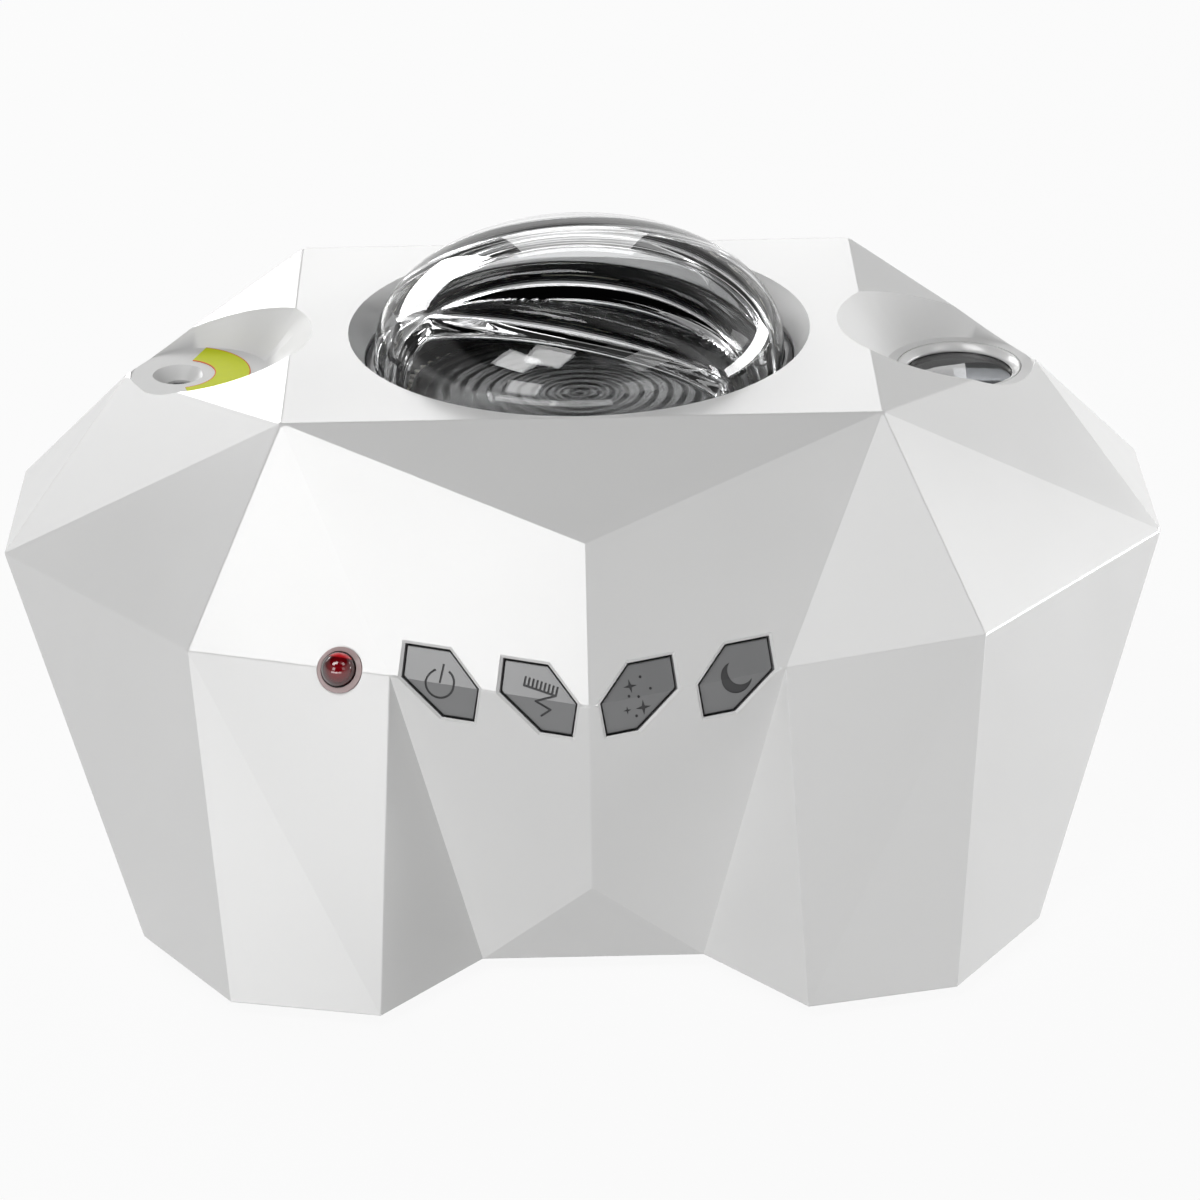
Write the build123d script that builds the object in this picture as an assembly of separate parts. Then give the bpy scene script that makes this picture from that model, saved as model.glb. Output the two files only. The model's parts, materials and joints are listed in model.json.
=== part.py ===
from build123d import *
import os
from math import acos, atan2, cos, pi, radians, sin, tan

import numpy as np

os.makedirs("parts", exist_ok=True)

# Aurora and star projector: a faceted white housing with a glossy dome in its deck, a star
# laser in the pocket at its left, a moon lens in the pocket at its right, and four keys set
# into the crease across its front. Millimetres, +Z up, front towards -Y, right towards +X,
# origin on the table under the middle. Heights inside are written as drops below the deck.

# ------------------------------------------------------------------ overall sizes
FOOT_PROUD = 1.7
HOUSING_HEIGHT = 67.6
DECK_Z = FOOT_PROUD + HOUSING_HEIGHT
WALL = 2.2

# Corners of the housing's front right quarter: x, y, drop below the deck. The other three
# quarters mirror it. Three corners lie on planes of their neighbours (see corner_points).
DECK = (42.9, -35.1, 0.0)
EAR = (68.4, 0.0, 6.6)
SIDE = (86.6, -15.1, 28.7)
SHOULDER = (56.2, -55.8, 25.6)
BROW = (27.5, -65.0, 25.6)
NOSE = (0.0, -71.5, 27.7)
TOE = (15.6, -71.3, HOUSING_HEIGHT)
SOLE_FRONT = (29.6, -86.3, HOUSING_HEIGHT)
SOLE_CORNER = (50.7, -81.7, HOUSING_HEIGHT)
PEAK_DROP = 11.2
CHIN_DROP = 55.0
SOLE_SIDE_X = 64.2

# ------------------------------------------------------------------ clearances
SEAT_GAP = 0.1       # round pieces that sit in a seat
KEY_GAP = 0.3        # round each key in its opening
PLATE_GAP = 0.3      # round the base plate in the housing's rim
RUNNING = 0.05       # radial, shaft in bearing
BACKLASH = 0.14      # at the pitch circle of each gear pair
ADDENDUM = 0.8       # of a gear's module
DEDENDUM = 1.1

# ------------------------------------------------------------------ dome
DOME_R = 30.7
DOME_RISE = 17.1     # above its widest line
DOME_DROP = 2.45     # drop of its widest line
DOME_WALL = 2.0
DOME_FLANGE_R = DOME_R + 3.3
FLANGE_TOP = 6.0
FLANGE_BOTTOM = 8.0
SEAL_WIDTH = 1.3
SEAL_R = DOME_R + SEAT_GAP + SEAL_WIDTH
SEAL_TOP = 4.5
THROAT_R = SEAL_R + 0.2
THROAT_DROP = 4.1
RIM_FLARE = 2.3
RIM_R = THROAT_R + RIM_FLARE
COLLAR_R = DOME_FLANGE_R + 3.0
CLAMP_BORE_R = DOME_R - DOME_WALL + 0.3
CLAMP_BOTTOM = 10.5

# Waves moulded inside the dome. Each has the lean of its plane from level, its turn about z
# and its offset from the dome's middle.
RIB_R = 5.5
RIB_RISE = 2.4
DOME_WAVES = (
    (72.5, 0.0, 7.2), (90.0, -6.0, 13.6), (120.0, -20.0, 8.4), (-78.0, 5.0, 12.6), (-96.0, -4.0, 19.5),
)

# ------------------------------------------------------------------ aurora optics
FRAME_R = 42.0       # circle of the four long screws that hold ring and chassis
FRAME_LUG_R = 3.6
CHASSIS_R = 34.0
CHASSIS_TOP = 16.0
CHASSIS_BOTTOM = 18.4
NECK_R = 24.0
NECK_BORE_R = 22.0
NECK_TOP = 12.3
SHOULDER_R = 25.2
AURORA_MODULE = 0.8
AURORA_TEETH = 70
PINION_TEETH = 12
GEAR_TOP = 12.0
GEAR_BOTTOM = 15.0
WAVE_R = 26.5
WAVE_TOP = 10.9
WAVE_HEIGHT = 0.22
MOTOR_R = 7.5
MOTOR_BOTTOM = 30.0
MOTOR_SLEEVE = 1.4
SHAFT_R = 1.0
CUP_R = 23.3
CUP_BOTTOM = 34.0
CUP_WALL = 1.7       # at the cup's mouth
CUP_DRAFT = 5.1      # by how much the cone narrows to its floor
CUP_MOUTH_R = CUP_R - CUP_WALL
CUP_FLOOR_R = CUP_MOUTH_R - CUP_DRAFT
CUP_EAR_R = 31.5     # circle of the cup's three ears
CUP_LUG_R = 2.6
EAR_BOTTOM = 20.0
BOARD_T = 1.6
LED_CIRCLE_R = CUP_FLOOR_R - 7.5
LED_SIZE = 3.5
LED_HEIGHT = 1.0
COLLIMATOR_R = 5.6
COLLIMATOR_TOP = 27.0
COLLIMATOR_FOOT_R = 3.5
COLLIMATOR_POCKET_R = 2.7
COLLIMATOR_POCKET = 3.0
SINK_SCREW_R = CUP_R - 3.1
SINK_BASE = 1.6
SINK_BOTTOM = 50.0
FIN_PITCH = 4.4
FIN_T = 1.4
FIN_PAIRS = 3        # fins on each side of the middle one
FIN_CIRCLE_R = SINK_SCREW_R - 2.8

# ------------------------------------------------------------------ star laser, left pocket
STAR_X = -57.0       # axis of the pocket
STAR_FLOOR = 6.6
STAR_FLOOR_R = 10.4
LASER_X = -60.4
SINK_MOUTH_R = 3.85
BEAM_R = 2.07
STICKER_IN_R = 5.5
STICKER_OUT_R = 10.85
STICKER_START_ANGLE = -75.0
STICKER_END_ANGLE = 71.0
STICKER_T = 0.12
WINDOW_R = 3.5
WINDOW_T = 1.0
DISC_X = -52.4
STAR_MODULE = 0.5
STAR_TEETH = 44
DISC_TOP = 11.0
DISC_BOTTOM = 13.0
BRACKET_TOP = 13.6
BRACKET_BOTTOM = 15.2
AXLE_R = 1.5
AXLE_HEAD_R = 2.5
BARREL_R = 4.5
BARREL_BOTTOM = 38.0
SLEEVE_BOTTOM = 22.0
SLEEVE_T = 1.2
STAR_MOTOR_R = 5.0
STAR_MOTOR_BOTTOM = 27.0
BRACKET_SCREWS = ((-52.4, -15.2), (-64.0, 9.5), (-41.2, 12.0))
BRACKET_EDGE_R = 3.4 # round each screw and round the laser and the motor
BOSS_R = 2.5         # screw bosses that hang from the deck

# ------------------------------------------------------------------ moon lens, right pocket
MOON_X = 57.2
MOON_FLOOR = 7.5
MOON_FLOOR_R = 11.0
BEZEL_R = 9.3
BEZEL_MOUTH_R = 8.9
LENS_OPENING_R = 8.05
LENS_R = 8.3
LENS_TOP = 8.8
LENS_BULGE = 0.6
BEZEL_FLANGE_R = 10.8
TUBE_TOP = 11.0
TUBE_BOTTOM = 34.0
TUBE_R = 9.7
TUBE_BORE_R = 7.6
TUBE_SEAT_R = 8.3
TUBE_SEAT_TOP = 25.0
CONDENSER_TOP = 26.2
CONDENSER_RIM = 1.5
CONDENSER_BULGE = 2.5
RETAINER_BORE_R = 7.1
TUBE_FLANGE = 1.8
TUBE_SCREW_R = 14.6
TUBE_SCREW_ANGLES = (100, 180, 260)

# ------------------------------------------------------------------ keys
# Hexagon of a key's opening, seen along its press axis: s runs from the nose to the brow
# along the crease, t runs upwards.
KEY_HEXAGON = ((15.7, 0.1), (20.9, 4.8), (27.3, 4.8), (26.8, 0.1), (20.6, -4.6), (16.0, -4.6))
KEY_PITCH = 14.0
KEY_SUNK = 0.9
KEY_BACK = 6.2       # back of the key's flange, behind the crease
KEY_LIP = 0.8
LIP_MIDDLE_GAP = 0.4 # between a lip and the middle plane, where two lips meet
LIP_REST_GAP = 0.08
KEY_TRAVEL = 0.6
STEM_R = 1.6
PLUNGER_R = 1.3
SWITCH_SIZE = 4.5
SWITCH_TOP = 9.6
PLUNGER_TOP = 8.7
KEY_BOARD_TOP = 13.0
KEY_BOARD_START = 4.9
KEY_BOARD_END = 26.5
KEY_BOARD_HALF = 10.5
KEY_POST_S = 14.4
KEY_POST_T = 8.2
KEY_POST_R = 2.3
KEY_POST_ROOT = 4.6
KEY_PILOT_END = 8.3
KEY_CENTRE_S = 21.4

# Signs engraved in the caps, round a cap's middle: line width, depth, and their own sizes.
SIGN_LINE = 0.3
SIGN_DEPTH = 0.16
POWER_R = 2.0
POWER_GAP_ANGLE = 55.0
POWER_BAR = 2.6
MOON_R = 2.2
MOON_BITE_R = 1.85
MOON_BITE = (0.75, 0.75)
STARS = ((-0.9, 1.6, 1.0), (0.4, -1.6, 1.1), (-1.9, -1.6, 0.6))
STAR_DOTS = ((0.8, 2.6), (-1.4, 0.3), (-0.1, 0.0), (1.8, 0.8), (-0.7, -2.6))
STAR_DOT_R = 0.2
CURTAIN = ((-2.3, 1.5), (2.4, 0.7), (-0.3, -0.4), (1.9, -1.3), (0.7, -2.3))
CURTAIN_RAYS = 9
CURTAIN_RAY = 1.15

# ------------------------------------------------------------------ remote receiver
IR_FRACTION = 0.753  # of the way from shoulder to brow
IR_DOME_R = 2.75
IR_FLANGE_R = 3.25
IR_SEAT = 0.5
IR_FLANGE_T = 0.6
IR_STEM = 3.6
IR_BOX = 5.4
IR_BOX_T = 3.2
CRADLE_R = 4.9
CRADLE_BORE_R = 3.95

# ------------------------------------------------------------------ base and boards
PLATE_T = 2.5
COLUMN_PLACES = (53.5, 62.0)
COLUMN_R = 3.4
FOOT_PLACES = (44.5, 73.5)
FOOT_R = 5.8
FOOT_RECESS = 0.8
BASE_SCREW_R = 1.3
BASE_SCREW_LENGTH = 11.0
BASE_HEAD_R = 2.6
BASE_HEAD_T = 1.4
BASE_HEAD_SUNK = 0.3
MAIN_BOARD_HALF = (36.0, 28.0)
# Parts on the main board: place, then width, depth and height, or radius and height.
CHIPS = (
    (0.0, -12.0, 9.0, 9.0, 1.4), (-16.0, -4.0, 5.0, 6.0, 1.6), (16.0, -4.0, 5.0, 6.0, 1.6),
    (22.0, -16.0, 7.0, 7.0, 3.4),
)
LEAD_SOCKETS = ((-16.0, 22.0, 11.0, 5.0, 5.5), (16.0, 22.0, 11.0, 5.0, 5.5), (0.0, 22.0, 9.0, 6.0, 5.0))
CAPACITORS = ((-28.0, 10.0, 3.1, 6.5), (-20.0, 10.0, 3.1, 6.5), (28.0, 10.0, 3.1, 6.5))
STANDOFF_PLACES = (32.0, 24.0)
STANDOFF_R = 2.8
STANDOFF_H = 5.0
VENT_COUNT = 9
VENT_PITCH = 5.0
VENT_SLOT = (2.0, 34.0)

# ------------------------------------------------------------------ power inlet, at the back
JACK_X = -9.0
JACK_DROP = 47.0
JACK_R = 3.9
JACK_FLANGE_R = 5.4
JACK_FLANGE_T = 1.2
JACK_CHAMFER = 0.4
JACK_LENGTH = 14.0
JACK_BORE_R = 2.75
JACK_BORE_DEPTH = 9.0
JACK_PIN_R = 1.05
NUT_FLATS = 10.0
NUT_T = 2.0

# ------------------------------------------------------------------ small screws inside
SCREW_R = 0.95
SCREW_LENGTH = 6.0
SCREW_HEAD_R = 1.9
SCREW_HEAD_T = 1.3
PILOT_R = 1.0
THROUGH_R = 1.25
FRAME_SCREW_R = 1.2
FRAME_PILOT_TOP = 3.0
FRAME_HEAD_R = 2.5
FRAME_HEAD_T = 2.0


# ================================================================== helpers
STAND = (Align.CENTER, Align.CENTER, Align.MIN)


def height(drop):
    """Height above the table of a drop below the deck."""
    return DECK_Z - drop


def at(x, y, drop):
    return Pos(x, y, height(drop))


def rod(radius, top, bottom, x=0.0, y=0.0):
    """A round bar between two drops."""
    bar = Cylinder(radius, bottom - top, align=STAND)
    return at(x, y, bottom) * bar


def cone(top_radius, bottom_radius, top, bottom, x=0.0, y=0.0):
    taper = Cone(bottom_radius, top_radius, bottom - top, align=STAND)
    return at(x, y, bottom) * taper


def tube(outer, inner, top, bottom, x=0.0, y=0.0):
    return rod(outer, top, bottom, x, y) - rod(inner, top, bottom, x, y)


def around(radius, angles, x=0.0, y=0.0):
    """Places on a circle."""
    return [(x + radius * cos(radians(a)), y + radius * sin(radians(a))) for a in angles]


def four_ways(x, y):
    """A place and its mirror images in the other three quarters."""
    return [(sx * x, sy * y) for sx in (1, -1) for sy in (1, -1)]


def peg(radius, start, end):
    """A round bar along a local z axis, for pieces on the sloping facets."""
    return Pos(0, 0, start) * Cylinder(radius, end - start, align=STAND)


def bulge(radius, rise, seat, x=0.0, side=1):
    """The curved part of a lens, above its seat for side 1 and below it for side -1."""
    ball_r = (radius ** 2 + rise ** 2) / (2 * rise)
    ball = at(x, 0, seat + side * (ball_r - rise)) * Sphere(ball_r)
    ends = sorted((seat + side * 0.01, seat - side * 2 * rise))
    return ball & rod(radius, *ends, x)


def small_screw():
    """A pan-head screw that points up its z axis, the seat of its head at the origin."""
    head = peg(SCREW_HEAD_R, -SCREW_HEAD_T, 0)
    slot = Pos(0, 0, -SCREW_HEAD_T) * Box(2.4, 0.5, 1.0)
    return head + peg(SCREW_R, 0, SCREW_LENGTH) - slot


def unit(vector):
    return vector / np.linalg.norm(vector)


def gear_outline(module, teeth, tooth_angle):
    """Outline of a spur gear with one tooth centred on tooth_angle, in degrees."""
    pitch_r = module * teeth / 2
    base_r = pitch_r * cos(radians(20))
    tip_r = pitch_r + ADDENDUM * module
    root_r = pitch_r - DEDENDUM * module

    def involute(radius):
        angle = acos(min(1.0, base_r / radius))
        return tan(angle) - angle

    half_tooth = pi / (2 * teeth) - BACKLASH / (4 * pitch_r)
    flank_start = max(base_r, root_r)
    radii = [flank_start, (flank_start + tip_r) / 2, tip_r]
    flank = [(r, half_tooth + involute(pitch_r) - involute(r)) for r in radii]
    if root_r < base_r:
        flank.insert(0, (root_r, flank[0][1]))
    points = []
    for k in range(teeth):
        middle = radians(tooth_angle) + 2 * pi * k / teeth
        polar = [(r, middle - a) for r, a in flank] + [(r, middle + a) for r, a in reversed(flank)]
        points += [(r * cos(a), r * sin(a)) for r, a in polar]
    return make_face(Polyline(*points, close=True))


# ================================================================== faceted form
def to_space(corner):
    x, y, drop = corner
    return np.array((x, y, height(drop)))


def plane_y(corners, x, drop):
    """The y at which the plane through three corners has this x and drop."""
    p, q, r = (to_space(c) for c in corners)
    normal = np.cross(q - p, r - p)
    return p[1] - (normal[0] * (x - p[0]) + normal[2] * (height(drop) - p[2])) / normal[1]


def corner_points():
    """Named corners of the front right quarter, as points in space."""
    peak = (0.0, plane_y((DECK, BROW, NOSE), 0.0, PEAK_DROP), PEAK_DROP)
    chin = (0.0, plane_y((NOSE, BROW, TOE), 0.0, CHIN_DROP), CHIN_DROP)
    sole_side_y = plane_y((SHOULDER, SIDE, SOLE_CORNER), SOLE_SIDE_X, HOUSING_HEIGHT)
    named = {
        "deck": DECK, "ear": EAR, "side": SIDE, "shoulder": SHOULDER, "brow": BROW,
        "nose": NOSE, "toe": TOE, "sole_front": SOLE_FRONT, "sole_corner": SOLE_CORNER,
        "peak": peak, "chin": chin, "sole_side": (SOLE_SIDE_X, sole_side_y, HOUSING_HEIGHT),
    }
    return {name: to_space(corner) for name, corner in named.items()}


CORNERS = corner_points()


def corner(name, sx=1, sy=1):
    return CORNERS[name] * np.array((sx, sy, 1))


def facet_loops():
    """Every facet of the form as a loop of corners."""
    quarter = (
        ("peak", "nose", "brow", "deck"), ("deck", "brow", "shoulder"), ("deck", "shoulder", "side"),
        ("deck", "side", "ear"), ("brow", "sole_front", "toe"), ("brow", "shoulder", "sole_front"),
        ("shoulder", "sole_corner", "sole_front"), ("shoulder", "side", "sole_side", "sole_corner"),
        ("nose", "brow", "toe", "chin"),
    )
    loops = [[corner(n, sx, sy) for n in names] for sx in (1, -1) for sy in (1, -1) for names in quarter]
    for sy in (1, -1):
        loops.append([corner("deck", 1, sy), corner("peak", 1, sy), corner("deck", -1, sy)])
        loops.append([corner("chin", 1, sy), corner("toe", 1, sy), corner("toe", -1, sy)])
    for sx in (1, -1):
        loops.append([corner("ear", sx, 1), corner("side", sx, 1), corner("side", sx, -1)])
        loops.append([corner("deck", sx, 1), corner("ear", sx, 1), corner("deck", sx, -1)])
        side_names = (("side", 1), ("side", -1), ("sole_side", -1), ("sole_side", 1))
        loops.append([corner(n, sx, sy) for n, sy in side_names])
    loops.append([corner("deck", sx, sy) for sx, sy in ((1, 1), (-1, 1), (-1, -1), (1, -1))])
    sole = ("toe", "sole_front", "sole_corner", "sole_side")
    right = [corner(n) for n in sole] + [corner(n, 1, -1) for n in reversed(sole)]
    loops.append(right + [p * np.array((-1, 1, 1)) for p in reversed(right)])
    return loops


def outward_normal(loop):
    normal = unit(np.cross(loop[1] - loop[0], loop[2] - loop[0]))
    middle = np.array((0, 0, DECK_Z / 2))
    return normal if normal @ (loop[0] - middle) > 0 else -normal


def faceted_form(inset=0.0, sole_inset=0.0):
    """The housing's form with its facets moved inwards by inset, and the sole by sole_inset."""
    loops = facet_loops()
    planes = [(outward_normal(loop), loop) for loop in loops]

    def key(point):
        return tuple(round(float(v), 4) for v in point)

    touching = {}
    for normal, loop in planes:
        for point in loop:
            touching.setdefault(key(point), []).append(normal)

    def moved(point):
        normals = np.array(touching[key(point)])
        on_sole = point[2] < FOOT_PROUD + 0.001
        rise = sole_inset if on_sole else 0.0
        free = slice(0, 2) if on_sole else slice(0, 3)
        walls = normals[normals[:, 2] > -0.99]
        step, *_ = np.linalg.lstsq(walls[:, free], -inset - walls[:, 2] * rise, rcond=None)
        full = np.array((step[0], step[1], rise if on_sole else step[2]))
        return tuple(float(v) for v in point + full)

    faces = []
    for _, loop in planes:
        points = [moved(p) for p in loop]
        if inset and len(points) == 4:
            faces.append(Face(Wire.make_polygon(points[:3])))
            faces.append(Face(Wire.make_polygon([points[0], points[2], points[3]])))
        else:
            faces.append(Face(Wire.make_polygon(points)))
    return Solid(Shell(faces))


OUTER_FORM = faceted_form()


def facet_normal(*names):
    return outward_normal([corner(n) for n in names])


def key_plane():
    """Plane of the right-hand keys: x along the crease, z outwards along the press axis."""
    along = unit(corner("brow") - corner("nose"))
    outwards = unit(facet_normal("deck", "brow", "nose") + facet_normal("nose", "brow", "toe"))
    return Plane(origin=tuple(corner("nose")), x_dir=tuple(along), z_dir=tuple(outwards))


def ir_plane():
    """Plane of the receiver's lens on the front left crease, z outwards."""
    mirror_x = np.array((-1, 1, 1))
    point = corner("shoulder") + (corner("brow") - corner("shoulder")) * IR_FRACTION
    upper = facet_normal("deck", "brow", "shoulder")
    lower = facet_normal("brow", "shoulder", "sole_front")
    along = unit(corner("brow") - corner("shoulder"))
    outwards = unit(upper + lower) * mirror_x
    return Plane(origin=tuple(point * mirror_x), x_dir=tuple(along * mirror_x), z_dir=tuple(outwards))


def jack_plane():
    """Plane of the power inlet on the back facet, z outwards."""
    normal = facet_normal("nose", "brow", "toe") * np.array((-1, -1, 1))
    y = -plane_y((NOSE, BROW, TOE), -JACK_X, JACK_DROP)
    return Plane(origin=(JACK_X, y, height(JACK_DROP)), z_dir=tuple(normal))


KEY_PLANE = key_plane()
IR_PLANE = ir_plane()
JACK_PLANE = jack_plane()


def left_of(shape):
    """A right-hand piece's mirror image."""
    return shape.mirror(Plane.YZ)


# ================================================================== housing
def pocket_block(x, floor, floor_r):
    """Material round a 45 degree pocket, before it is cut."""
    deep = floor + WALL
    spread = WALL * 1.414
    return cone(floor_r + spread + floor + 1, floor_r + spread - WALL, -1, deep, x)


def pocket_cut(x, floor, floor_r):
    return cone(floor_r + floor + 1, floor_r, -1, floor, x)


def key_prism(shift, grow, start, end):
    """A key's hexagon as a prism along the press axis, in the key plane."""
    outline = make_face(Polyline(*[(s - shift, t) for s, t in KEY_HEXAGON], close=True))
    if grow:
        outline = offset(outline, amount=grow, kind=Kind.INTERSECTION)
    return Pos(0, 0, start) * extrude(outline, amount=end - start)


def key_posts():
    places = [Pos(KEY_POST_S, t, 0) for t in (KEY_POST_T, -KEY_POST_T)]
    posts = [place * peg(KEY_POST_R, -KEY_BOARD_TOP, -KEY_POST_ROOT) for place in places]
    pilots = [place * peg(PILOT_R, -KEY_BOARD_TOP - 1, -KEY_PILOT_END) for place in places]
    return KEY_PLANE * (posts[0] + posts[1]), KEY_PLANE * (pilots[0] + pilots[1])


def upper_housing():
    column_top = FOOT_PROUD + PLATE_T
    inside = rod(COLLAR_R, -1, FLANGE_BOTTOM)
    for x, y in around(FRAME_R, (45, 135, 225, 315)):
        inside += rod(FRAME_LUG_R, 0, FLANGE_BOTTOM, x, y)
    inside += pocket_block(MOON_X, MOON_FLOOR, MOON_FLOOR_R)
    inside += pocket_block(STAR_X, STAR_FLOOR, STAR_FLOOR_R)
    inside += rod(WINDOW_R + 1.5, STAR_FLOOR, STAR_FLOOR + WALL + WINDOW_T, LASER_X)
    for x, y in BRACKET_SCREWS:
        inside += rod(BOSS_R, 0, BRACKET_TOP, x, y)
    for x, y in around(TUBE_SCREW_R, TUBE_SCREW_ANGLES, MOON_X):
        inside += rod(BOSS_R, 0, TUBE_TOP, x, y)
    for x, y in four_ways(*COLUMN_PLACES):
        column = Cylinder(COLUMN_R, DECK_Z, align=STAND)
        inside += Pos(x, y, column_top) * column
    posts, pilots = key_posts()
    inside += posts + left_of(posts)
    inside += IR_PLANE * peg(CRADLE_R, -8.0, -1.0)

    shell = OUTER_FORM - faceted_form(WALL, -1.0)
    body = shell + (inside & OUTER_FORM)

    cuts = [cone(RIM_R + 1 * (RIM_R - THROAT_R) / THROAT_DROP, THROAT_R, -1, THROAT_DROP)]
    cuts.append(rod(THROAT_R, THROAT_DROP - 0.01, FLANGE_BOTTOM + 1))
    cuts.append(rod(DOME_FLANGE_R + SEAT_GAP, FLANGE_TOP, FLANGE_BOTTOM + 1))
    for x, y in around(FRAME_R, (45, 135, 225, 315)):
        cuts.append(rod(FRAME_SCREW_R + RUNNING, FRAME_PILOT_TOP, FLANGE_BOTTOM + 1, x, y))
    cuts.append(pocket_cut(MOON_X, MOON_FLOOR, MOON_FLOOR_R))
    cuts.append(rod(BEZEL_R + SEAT_GAP, MOON_FLOOR - 1, TUBE_TOP, MOON_X))
    cuts.append(rod(BEZEL_FLANGE_R + SEAT_GAP, MOON_FLOOR + WALL, TUBE_TOP + 1, MOON_X))
    cuts.append(pocket_cut(STAR_X, STAR_FLOOR, STAR_FLOOR_R))
    cuts.append(cone(SINK_MOUTH_R, BEAM_R, STAR_FLOOR, STAR_FLOOR + SINK_MOUTH_R - BEAM_R, LASER_X))
    cuts.append(rod(BEAM_R, STAR_FLOOR, BRACKET_TOP, LASER_X))
    cuts.append(rod(WINDOW_R + SEAT_GAP, STAR_FLOOR + WALL, BRACKET_TOP, LASER_X))
    for x, y in BRACKET_SCREWS:
        cuts.append(rod(PILOT_R, BRACKET_BOTTOM - SCREW_LENGTH, BRACKET_TOP + 1, x, y))
    for x, y in around(TUBE_SCREW_R, TUBE_SCREW_ANGLES, MOON_X):
        cuts.append(rod(PILOT_R, TUBE_TOP + TUBE_FLANGE - SCREW_LENGTH, TUBE_TOP + 1, x, y))
    for x, y in four_ways(*COLUMN_PLACES):
        pilot = Cylinder(BASE_SCREW_R + RUNNING, BASE_SCREW_LENGTH, align=STAND)
        cuts.append(Pos(x, y, column_top - 1) * pilot)
    for shift in (0, KEY_PITCH):
        opening = KEY_PLANE * key_prism(shift, 0, -9, 6)
        cuts += [opening, left_of(opening)]
    cuts += [pilots, left_of(pilots)]
    cuts.append(IR_PLANE * peg(IR_FLANGE_R + SEAT_GAP, -IR_SEAT, 3))
    cuts.append(IR_PLANE * peg(IR_DOME_R + SEAT_GAP, -IR_STEM, 0))
    cuts.append(IR_PLANE * peg(CRADLE_BORE_R, -9, -IR_STEM))
    cuts.append(JACK_PLANE * peg(JACK_R + SEAT_GAP, -6, 3))
    cuts.append(JACK_PLANE * peg(NUT_FLATS / 2 + 1.4, -6, -WALL))
    for cut in cuts:
        body -= cut
    return body


def base_plate():
    top = FOOT_PROUD + PLATE_T
    form = faceted_form(WALL + PLATE_GAP, 0.0)
    sole = [f for f in form.faces() if f.center().Z < FOOT_PROUD + 0.01][0]
    plate = extrude(sole, amount=PLATE_T, dir=(0, 0, 1)) & form
    for x, y in four_ways(*STANDOFF_PLACES):
        plate += Pos(x, y, top) * peg(STANDOFF_R, 0, STANDOFF_H)
        plate -= Pos(x, y, top) * peg(PILOT_R, 0.3, STANDOFF_H)
    for x, y in four_ways(*FOOT_PLACES):
        plate -= Pos(x, y, FOOT_PROUD) * peg(FOOT_R + SEAT_GAP, -1, FOOT_RECESS)
    for x, y in four_ways(*COLUMN_PLACES):
        plate -= Pos(x, y, FOOT_PROUD) * peg(BASE_HEAD_R + SEAT_GAP, -1, BASE_HEAD_T + BASE_HEAD_SUNK)
        plate -= Pos(x, y, FOOT_PROUD) * peg(BASE_SCREW_R + SEAT_GAP, 0, PLATE_T + 1)
    for k in range(VENT_COUNT):
        x = (k - (VENT_COUNT - 1) / 2) * VENT_PITCH
        slot = Rot(0, 0, 90) * extrude(SlotOverall(VENT_SLOT[1], VENT_SLOT[0]), PLATE_T + 2)
        plate -= Pos(x, 0, FOOT_PROUD - 1) * slot
    return plate


def rubber_feet():
    feet = []
    for x, y in four_ways(*FOOT_PLACES):
        foot = peg(FOOT_R, 0, FOOT_PROUD + FOOT_RECESS)
        foot = chamfer(foot.edges().group_by(Axis.Z)[0], 0.4)
        feet.append(Pos(x, y, 0) * foot)
    return feet


def base_screws():
    screws = []
    for x, y in four_ways(*COLUMN_PLACES):
        seat = FOOT_PROUD + BASE_HEAD_T + BASE_HEAD_SUNK
        screw = peg(BASE_HEAD_R, seat - BASE_HEAD_T, seat) + peg(BASE_SCREW_R, seat, seat + BASE_SCREW_LENGTH - 2)
        screw -= Pos(0, 0, seat - BASE_HEAD_T) * (Box(3.2, 0.7, 1.4) + Box(0.7, 3.2, 1.4))
        screws.append(Pos(x, y, 0) * screw)
    return screws


# ================================================================== dome and its ring
def dome_shape(radius, rise, bottom):
    """A solid cap: half an ellipse turned about z on a straight skirt."""
    angles = [radians(a) for a in range(0, 91, 15)]
    arc = Spline(*[(radius * cos(a), rise * sin(a)) for a in angles], tangents=[(0, 1), (-1, 0)])
    skirt = bottom - DOME_DROP
    edge = Polyline((0, rise), (0, -skirt), (radius, -skirt), (radius, 0))
    outline = Plane.XZ * make_face(arc + edge)
    return at(0, 0, DOME_DROP) * revolve(outline, Axis.Z)


def dome_wave(lean, turn, offset_along):
    """A wave of the dome's inside: a ring on a ball, flattened as the dome is."""
    inner_r = DOME_R - DOME_WALL
    ball_r = inner_r + RIB_R - RIB_RISE
    ring = Torus((ball_r ** 2 - offset_along ** 2) ** 0.5, RIB_R)
    ring = Rot(0, 0, turn) * Rot(lean, 0, 0) * Pos(0, 0, offset_along) * ring
    return at(0, 0, DOME_DROP) * scale(ring, by=(1, 1, (DOME_RISE - DOME_WALL) / inner_r))


def dome_cover():
    """The clear cap and its flange; waves in its inside break the lamps' light into curtains."""
    cover = dome_shape(DOME_R, DOME_RISE, FLANGE_BOTTOM) + rod(DOME_FLANGE_R, FLANGE_TOP, FLANGE_BOTTOM)
    hollow = dome_shape(DOME_R - DOME_WALL, DOME_RISE - DOME_WALL, SEAL_TOP)
    mouth = rod(DOME_R - DOME_WALL, SEAL_TOP, FLANGE_BOTTOM)
    for wave in DOME_WAVES:
        hollow -= dome_wave(*wave)
    return cover - mouth - hollow


def dome_seal_ring():
    return tube(SEAL_R, DOME_R + SEAT_GAP, SEAL_TOP, FLANGE_TOP)


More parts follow.
